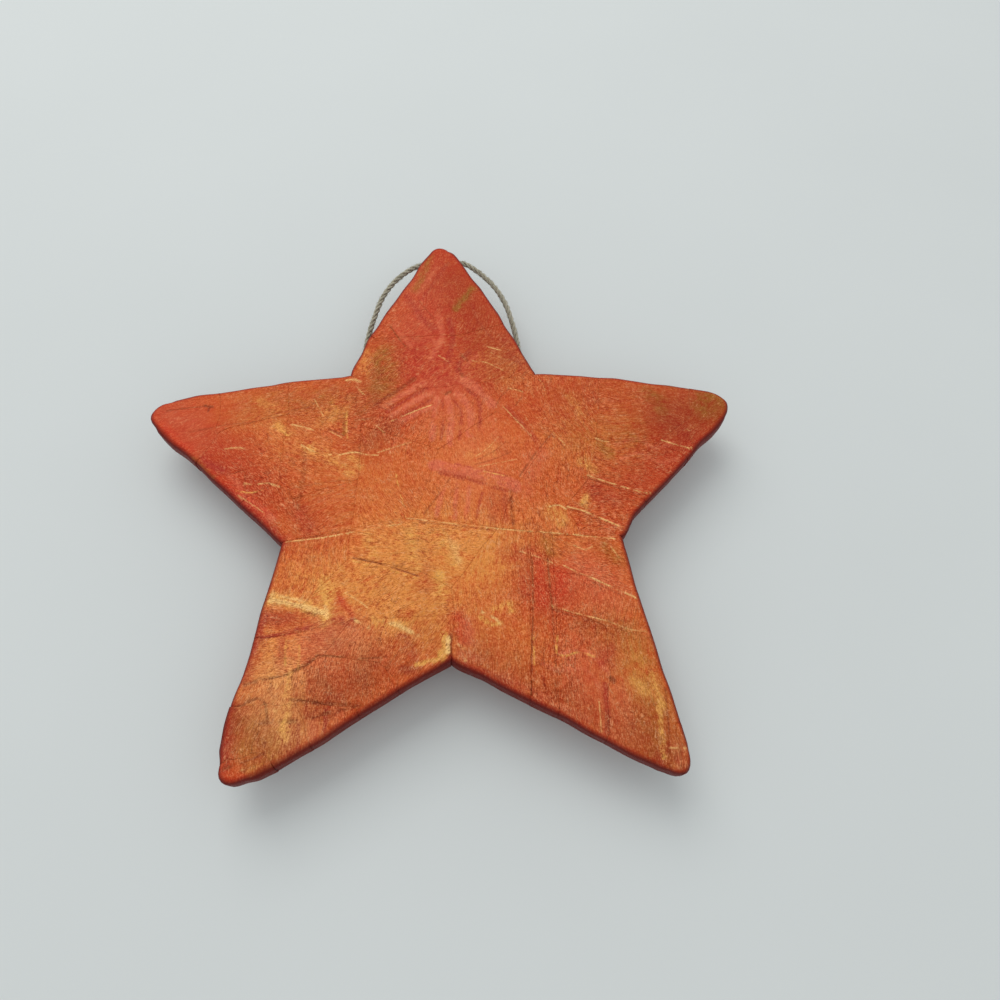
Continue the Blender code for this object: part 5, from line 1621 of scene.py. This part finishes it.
def paperPatterns(tree):
    # every pattern that the paint is worn and mixed by: grain, larger patches of it, brush marks, their mixes
    place = tree.nodes.new("ShaderNodeTexCoord").outputs["Object"]
    brushMap = addNode(tree, "ShaderNodeUVMap", uv_map="brush").outputs["UV"]
    shifted = addNode(tree, "ShaderNodeVectorMath", {0: place, 1: paintSet["patchOffset"]}).outputs[0]
    grain = placeGroup(tree, grainGroup, {"Vector": place})
    patches = placeGroup(tree, grainGroup, {"Vector": shifted, **paintSet["patches"]})
    brush = placeGroup(tree, brushGroup, {"Vector": brushMap})
    patterns = {label: grain[label] for label in ("Cloud", "Pulp", "Speckle")}
    patterns.update({"patch" + label: patches[label] for label in ("Cloud", "Pulp", "Speckle")})
    patterns.update({label: brush[label] for label in ("Sweep", "Streak", "Bristle", "Crease", "Fibre")})
    patterns.update({label: readValue(tree, label) for label in ("sheetTone", "glowPaint")})
    for label in ("drawn", "warm", "mottled", "ragged", "blush", "gritLightAndShade"):
        patterns[label] = mixed(tree, patterns, label)
    return patterns


def layCoats(tree, patterns, colour, extra):
    # the coats over each other, each worn away by its pattern
    for label, worn, kind in coats:
        amount = readValue(tree, label)
        if label in extra:
            amount = mathNode(tree, "ADD", amount, extra[label])
        inputs = {"Amount": amount, "Pattern": patterns[kind], "Worn": worn}
        cover = placeGroup(tree, coatGroup, inputs)["Cover"]
        colour = mixColour(tree, cover, colour, paintSet[label])
        if label == "goldPaint":
            patterns["goldCover"] = cover
    return colour


def makePaperMaterial(name, gold, redness):
    made, tree, shader = newMaterial(name, paintSet["roughness"])
    shader.inputs["Specular IOR Level"].default_value = paintSet["specular"]
    patterns = paperPatterns(tree)
    lively = mathNode(tree, "MULTIPLY_ADD", readValue(tree, "calmPaint"), paintSet["calming"], 1.0)
    uneven = mathNode(tree, "MULTIPLY_ADD", patterns["patchCloud"], *paintSet["liveliness"])
    uneven = mathNode(tree, "MULTIPLY", lively, uneven)

    # base coat: red-orange with a warmer orange dragged through it, then a pink blush and the other paints
    warm = addNode(tree, "ShaderNodeClamp", {"Value": patterns["warm"]}).outputs[0]
    colour = mixColour(tree, warm, paintSet["base"], paintSet["warm"])
    blush = rampValue(tree, patterns["blush"], *paintSet["blush"])
    colour = mixColour(tree, blush, colour, paintSet["pinkPaint"])
    colour = layCoats(tree, patterns, colour, {"goldPaint": gold, "redPaint": redness})

    # creases where the paint lies darker, and pale fibres where it was rubbed off
    crease = mathNode(tree, "MULTIPLY", patterns["Crease"],
                      rampValue(tree, patterns["patchCloud"], *paintSet["crease"]))
    colour = mixColour(tree, mathNode(tree, "MULTIPLY", crease, lively), colour, paintSet["darkPaint"])
    fibre = mathNode(tree, "MULTIPLY", patterns["Fibre"],
                     rampValue(tree, patterns["mottled"], *paintSet["fibre"]))
    fibre = mathNode(tree, "MULTIPLY", fibre, lively)
    colour = mixColour(tree, fibre, colour, paintSet["grain"])

    # fine grit: the paint's own grain, multiplied in, with painted shade in its pits and painted light on its
    # tops; then painted glints, small bright specks standing in for light caught by the grain; both drawn out
    # the way the brush went
    gritLightAndShade = mathNode(tree, "MULTIPLY_ADD", patterns["gritLightAndShade"], uneven, 1.0)
    colour = mixColour(tree, 1.0, colour, gritLightAndShade, "MULTIPLY")
    # painted glints: pale specks mixed into the colour where light would catch the grain
    paintedGlint = mathNode(tree, "MULTIPLY", rampValue(tree, patterns["drawn"], *paintSet["paintedGlint"]), uneven)
    colour = mixColour(tree, paintedGlint, colour, paintSet["grain"])
    # painted shade: the paint turns darker over the rounded edge and deep dark red down the side wall, as if
    # in shade
    turned = readValue(tree, "turnedDown")
    colour = mixColour(tree, rampValue(tree, turned, *paintSet["crestTurn"]), colour, paintSet["crestShade"])
    colour = mixColour(tree, rampValue(tree, turned, *paintSet["wallShadeTurn"]), colour, paintSet["wall"])
    dark = mathNode(tree, "MULTIPLY", patterns["Pulp"], paintSet["seamDark"])
    seam = mathNode(tree, "MULTIPLY", readValue(tree, "seamEdge"), dark)
    colour = mixColour(tree, seam, colour, paintSet["darkPaint"])
    tree.links.new(colour, shader.inputs["Base Color"])

    metal = mathNode(tree, "MULTIPLY", patterns["goldCover"], paintSet["goldMetal"])
    tree.links.new(metal, shader.inputs["Metallic"])
    tree.links.new(mixed(tree, patterns, "roughness"), shader.inputs["Roughness"])
    patterns.update({"crease": crease, "fibre": fibre})
    height = mathNode(tree, "MULTIPLY", mixed(tree, patterns, "height"), lively)
    bump = addNode(tree, "ShaderNodeBump", {"Height": height, "Distance": paintSet["bump"], "Strength": 1.0})
    tree.links.new(bump.outputs[0], shader.inputs["Normal"])
    return made


frontPaper = makePaperMaterial("frontPaper", paintSet["goldEverywhere"], paintSet["redEverywhere"])
total = 0
for sheetName, sheetEntry in frontSheets.items():
    total += makeFrontSheet(sheetName, sheetEntry, frontPaper)
print("front sheets pasted:", total, "faces")


# Paper over the back: one sheet on the flat that the star rests on, one up the back of each point
backSet = {
    "restRadius": 0.0360,
    "outerShare": 0.925,
    "grid": 0.0010,
    "lumps": ((0.016, 51, 0.00022), (0.005, 52, 0.00008)),
    "tear": 0.0009,
    "far": 0.25,                   # corners well outside the star, where a sheet turns over its edge
    "farTurn": 18,
    "flatShare": (0.30, 0.08),     # the flat ends here, and the lumps begin within this
    "flatLumps": 0.5,
    "lip": (0.00010, 0.0008),      # the torn edge thins by this, over this width
    "sunk": (0.00030, 0.865, 0.03, 0.4),
    "seamWidth": 0.0004,
    "gold": 0.04,
    "redness": 0.55,
    "restWay": 35,
    "armNames": ("top", "right", "lower_right", "lower_left", "left"),
    "brushWay": (88, 14, -50, 55, -20),
}
backLoop = faceLoop * backSet["outerShare"]
backPoints = {}
for k in range(arms):
    way = 90 - 72 * k
    backPoints[f"rest{k}"] = cmath.rect(backSet["restRadius"], math.radians(way - 36))
    backPoints[f"farLeft{k}"] = cmath.rect(backSet["far"], math.radians(way + backSet["farTurn"]))
    backPoints[f"farRight{k}"] = cmath.rect(backSet["far"], math.radians(way - backSet["farTurn"]))
    backPoints[notches[k]] = corners[2 * k + 1]


def makeBackSheet(name, names, brushWay, node, material):
    border, _, _ = sheetBorder(names, backPoints.get, backLoop, backSet["tear"])
    plan, faces, _ = fillFace(border, [], backSet["grid"])
    faces = [tuple(reversed(face)) for face in faces]
    share = shareOf(plan, reachTrue)
    points = np.column_stack([plan.real, plan.imag, backHeight(plan)])
    normals = slopeNormals(plan, backHeight, -1.0)
    fromSeam = nearestBorder(plan, border)
    lumps = sum(latticeNoise(points, size, seed) * height for size, seed, height in backSet["lumps"])
    onFlat = easeIn((backSet["flatShare"][0] - share) / backSet["flatShare"][1])
    rise = lumps * (1 - onFlat) - abs(lumps) * onFlat * backSet["flatLumps"]
    rise = rise - backSet["lip"][0] * (1 - easeIn(fromSeam / backSet["lip"][1]))
    depth, sunkFrom, sunkOver, sunkInside = backSet["sunk"]      # under the tucks of the front's sheets
    sunk = depth * easeIn((share - sunkFrom) / sunkOver)
    outer = cutByHand(points + normals * (rise - sunk)[:, None])
    inner = cutByHand(points - normals * (paperDepth + sunk * sunkInside)[:, None])
    bare = np.zeros(len(plan))
    values = sheetValues(name, dict.fromkeys(paints, bare), bare, fromSeam, backSet["seamWidth"])
    mesh = sheetMesh(name, outer, inner, faces, values, brushPlace(plan, brushWay, name))
    piece = newPiece(name, mesh, material, "star")
    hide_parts(node)


backPaper = makePaperMaterial("backPaper", backSet["gold"], backSet["redness"])
restCorners = [f"rest{k}" for k in range(arms)]
makeBackSheet("pasted_back_rest", restCorners, backSet["restWay"], "back_rest_sheet", backPaper)
for k, armName in enumerate(backSet["armNames"]):
    before = (k - 1) % arms
    ring = [f"rest{before}", notches[before], f"farLeft{k}", f"farRight{k}", notches[k], f"rest{k}"]
    makeBackSheet("pasted_back_" + armName, ring, backSet["brushWay"][k], "back_paper_" + armName, backPaper)
print("back sheets pasted")


# Bare card inside: both boards and the strips of the wall keep the shapes of the frame
cardSet = {
    "colour": (0.40, 0.30, 0.19, 1.0),
    "dark": (0.27, 0.19, 0.115, 1.0),
    "pale": (0.56, 0.46, 0.32, 1.0),
    "paleAmount": 0.35,
    "grain": {"Cloud Size": 0.02, "Pulp Size": 0.0016, "Speckle Size": 0.0004},
    "roughness": 0.85,
    "bump": 0.00008,
}


def makeCardMaterial():
    made, tree, shader = newMaterial("greyCard", cardSet["roughness"])
    place = tree.nodes.new("ShaderNodeTexCoord").outputs["Object"]
    grain = placeGroup(tree, grainGroup, {"Vector": place, **cardSet["grain"]})
    colour = mixColour(tree, grain["Cloud"], cardSet["colour"], cardSet["dark"])
    colour = wornOver(tree, colour, cardSet["paleAmount"], grain["Pulp"], cardSet["pale"])
    tree.links.new(colour, shader.inputs["Base Color"])
    bump = addNode(tree, "ShaderNodeBump", {"Height": grain["Pulp"], "Distance": cardSet["bump"]})
    tree.links.new(bump.outputs[0], shader.inputs["Normal"])
    return made


def cutCard(nodeName, node):
    # the card of the frame, cut to the same outline
    mesh = node.data.copy()
    mesh.name = "card_" + nodeName
    points = np.zeros(len(mesh.vertices) * 3)
    mesh.vertices.foreach_get("co", points)
    points = cutByHand(points.reshape(-1, 3) - middlePoint) + middlePoint
    mesh.vertices.foreach_set("co", points.ravel())
    piece = newPiece("cut_" + nodeName, mesh, cardMaterial, "star")
    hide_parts(nodeName)


cardMaterial = makeCardMaterial()
for nodeName, node in list(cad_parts.items()):
    if nodeName.startswith(("rim_strip", "front_board", "back_board")):
        cutCard(nodeName, node)
print("card finished")


# Floor and light
stageSet = {
    "floorSize": 6.0,
    "floorDrop": 0.0002,
    "floorSpecular": 0.15,
    "floorRoughness": 0.8,
    "floorClouds": {"Scale": 9.0, "Detail": 5.0},
    "floorColour": (0.735, 0.765, 0.745, 1.0),
    "floorShade": (0.700, 0.730, 0.710, 1.0),
    "worldColour": (0.94, 0.97, 1.0, 1.0),
    "worldStrength": 0.655,
    "lampPower": 7.6,
    "lampSize": 1.1,
    "lampPlace": (-0.35, 0.85, 1.15),
}


def makeFloor():
    half = stageSet["floorSize"] / 2
    corner = [(-half, -half, 0), (half, -half, 0), (half, half, 0), (-half, half, 0)]
    mesh = bpy.data.meshes.new("floor")
    mesh.from_pydata(corner, [], [(0, 1, 2, 3)])
    floor = bpy.data.objects.new("floor", mesh)
    bpy.context.scene.collection.objects.link(floor)
    floor.location.z = -stageSet["floorDrop"]
    made, tree, shader = newMaterial("paleFloor", stageSet["floorRoughness"])
    shader.inputs["Specular IOR Level"].default_value = stageSet["floorSpecular"]
    place = tree.nodes.new("ShaderNodeTexCoord").outputs["Object"]
    noise = addNode(tree, "ShaderNodeTexNoise", {"Vector": place, **stageSet["floorClouds"]})
    colour = mixColour(tree, noise.outputs["Fac"], stageSet["floorColour"], stageSet["floorShade"])
    tree.links.new(colour, shader.inputs["Base Color"])
    mesh.materials.append(made)


def makeLight():
    world = bpy.data.worlds.new("studio")
    world.use_nodes = True
    background = world.node_tree.nodes["Background"]
    background.inputs["Color"].default_value = stageSet["worldColour"]
    background.inputs["Strength"].default_value = stageSet["worldStrength"]
    bpy.context.scene.world = world
    lampData = bpy.data.lights.new("softLamp", "AREA")
    lampData.energy = stageSet["lampPower"]
    lampData.size = stageSet["lampSize"]
    lamp = bpy.data.objects.new("softLamp", lampData)
    bpy.context.scene.collection.objects.link(lamp)
    lamp.location = stageSet["lampPlace"]
    lamp.rotation_euler = Vector(stageSet["lampPlace"]).to_track_quat("Z", "Y").to_euler()


makeFloor()
makeLight()
bpy.context.scene.view_settings.view_transform = "Standard"
print("floor and light set")
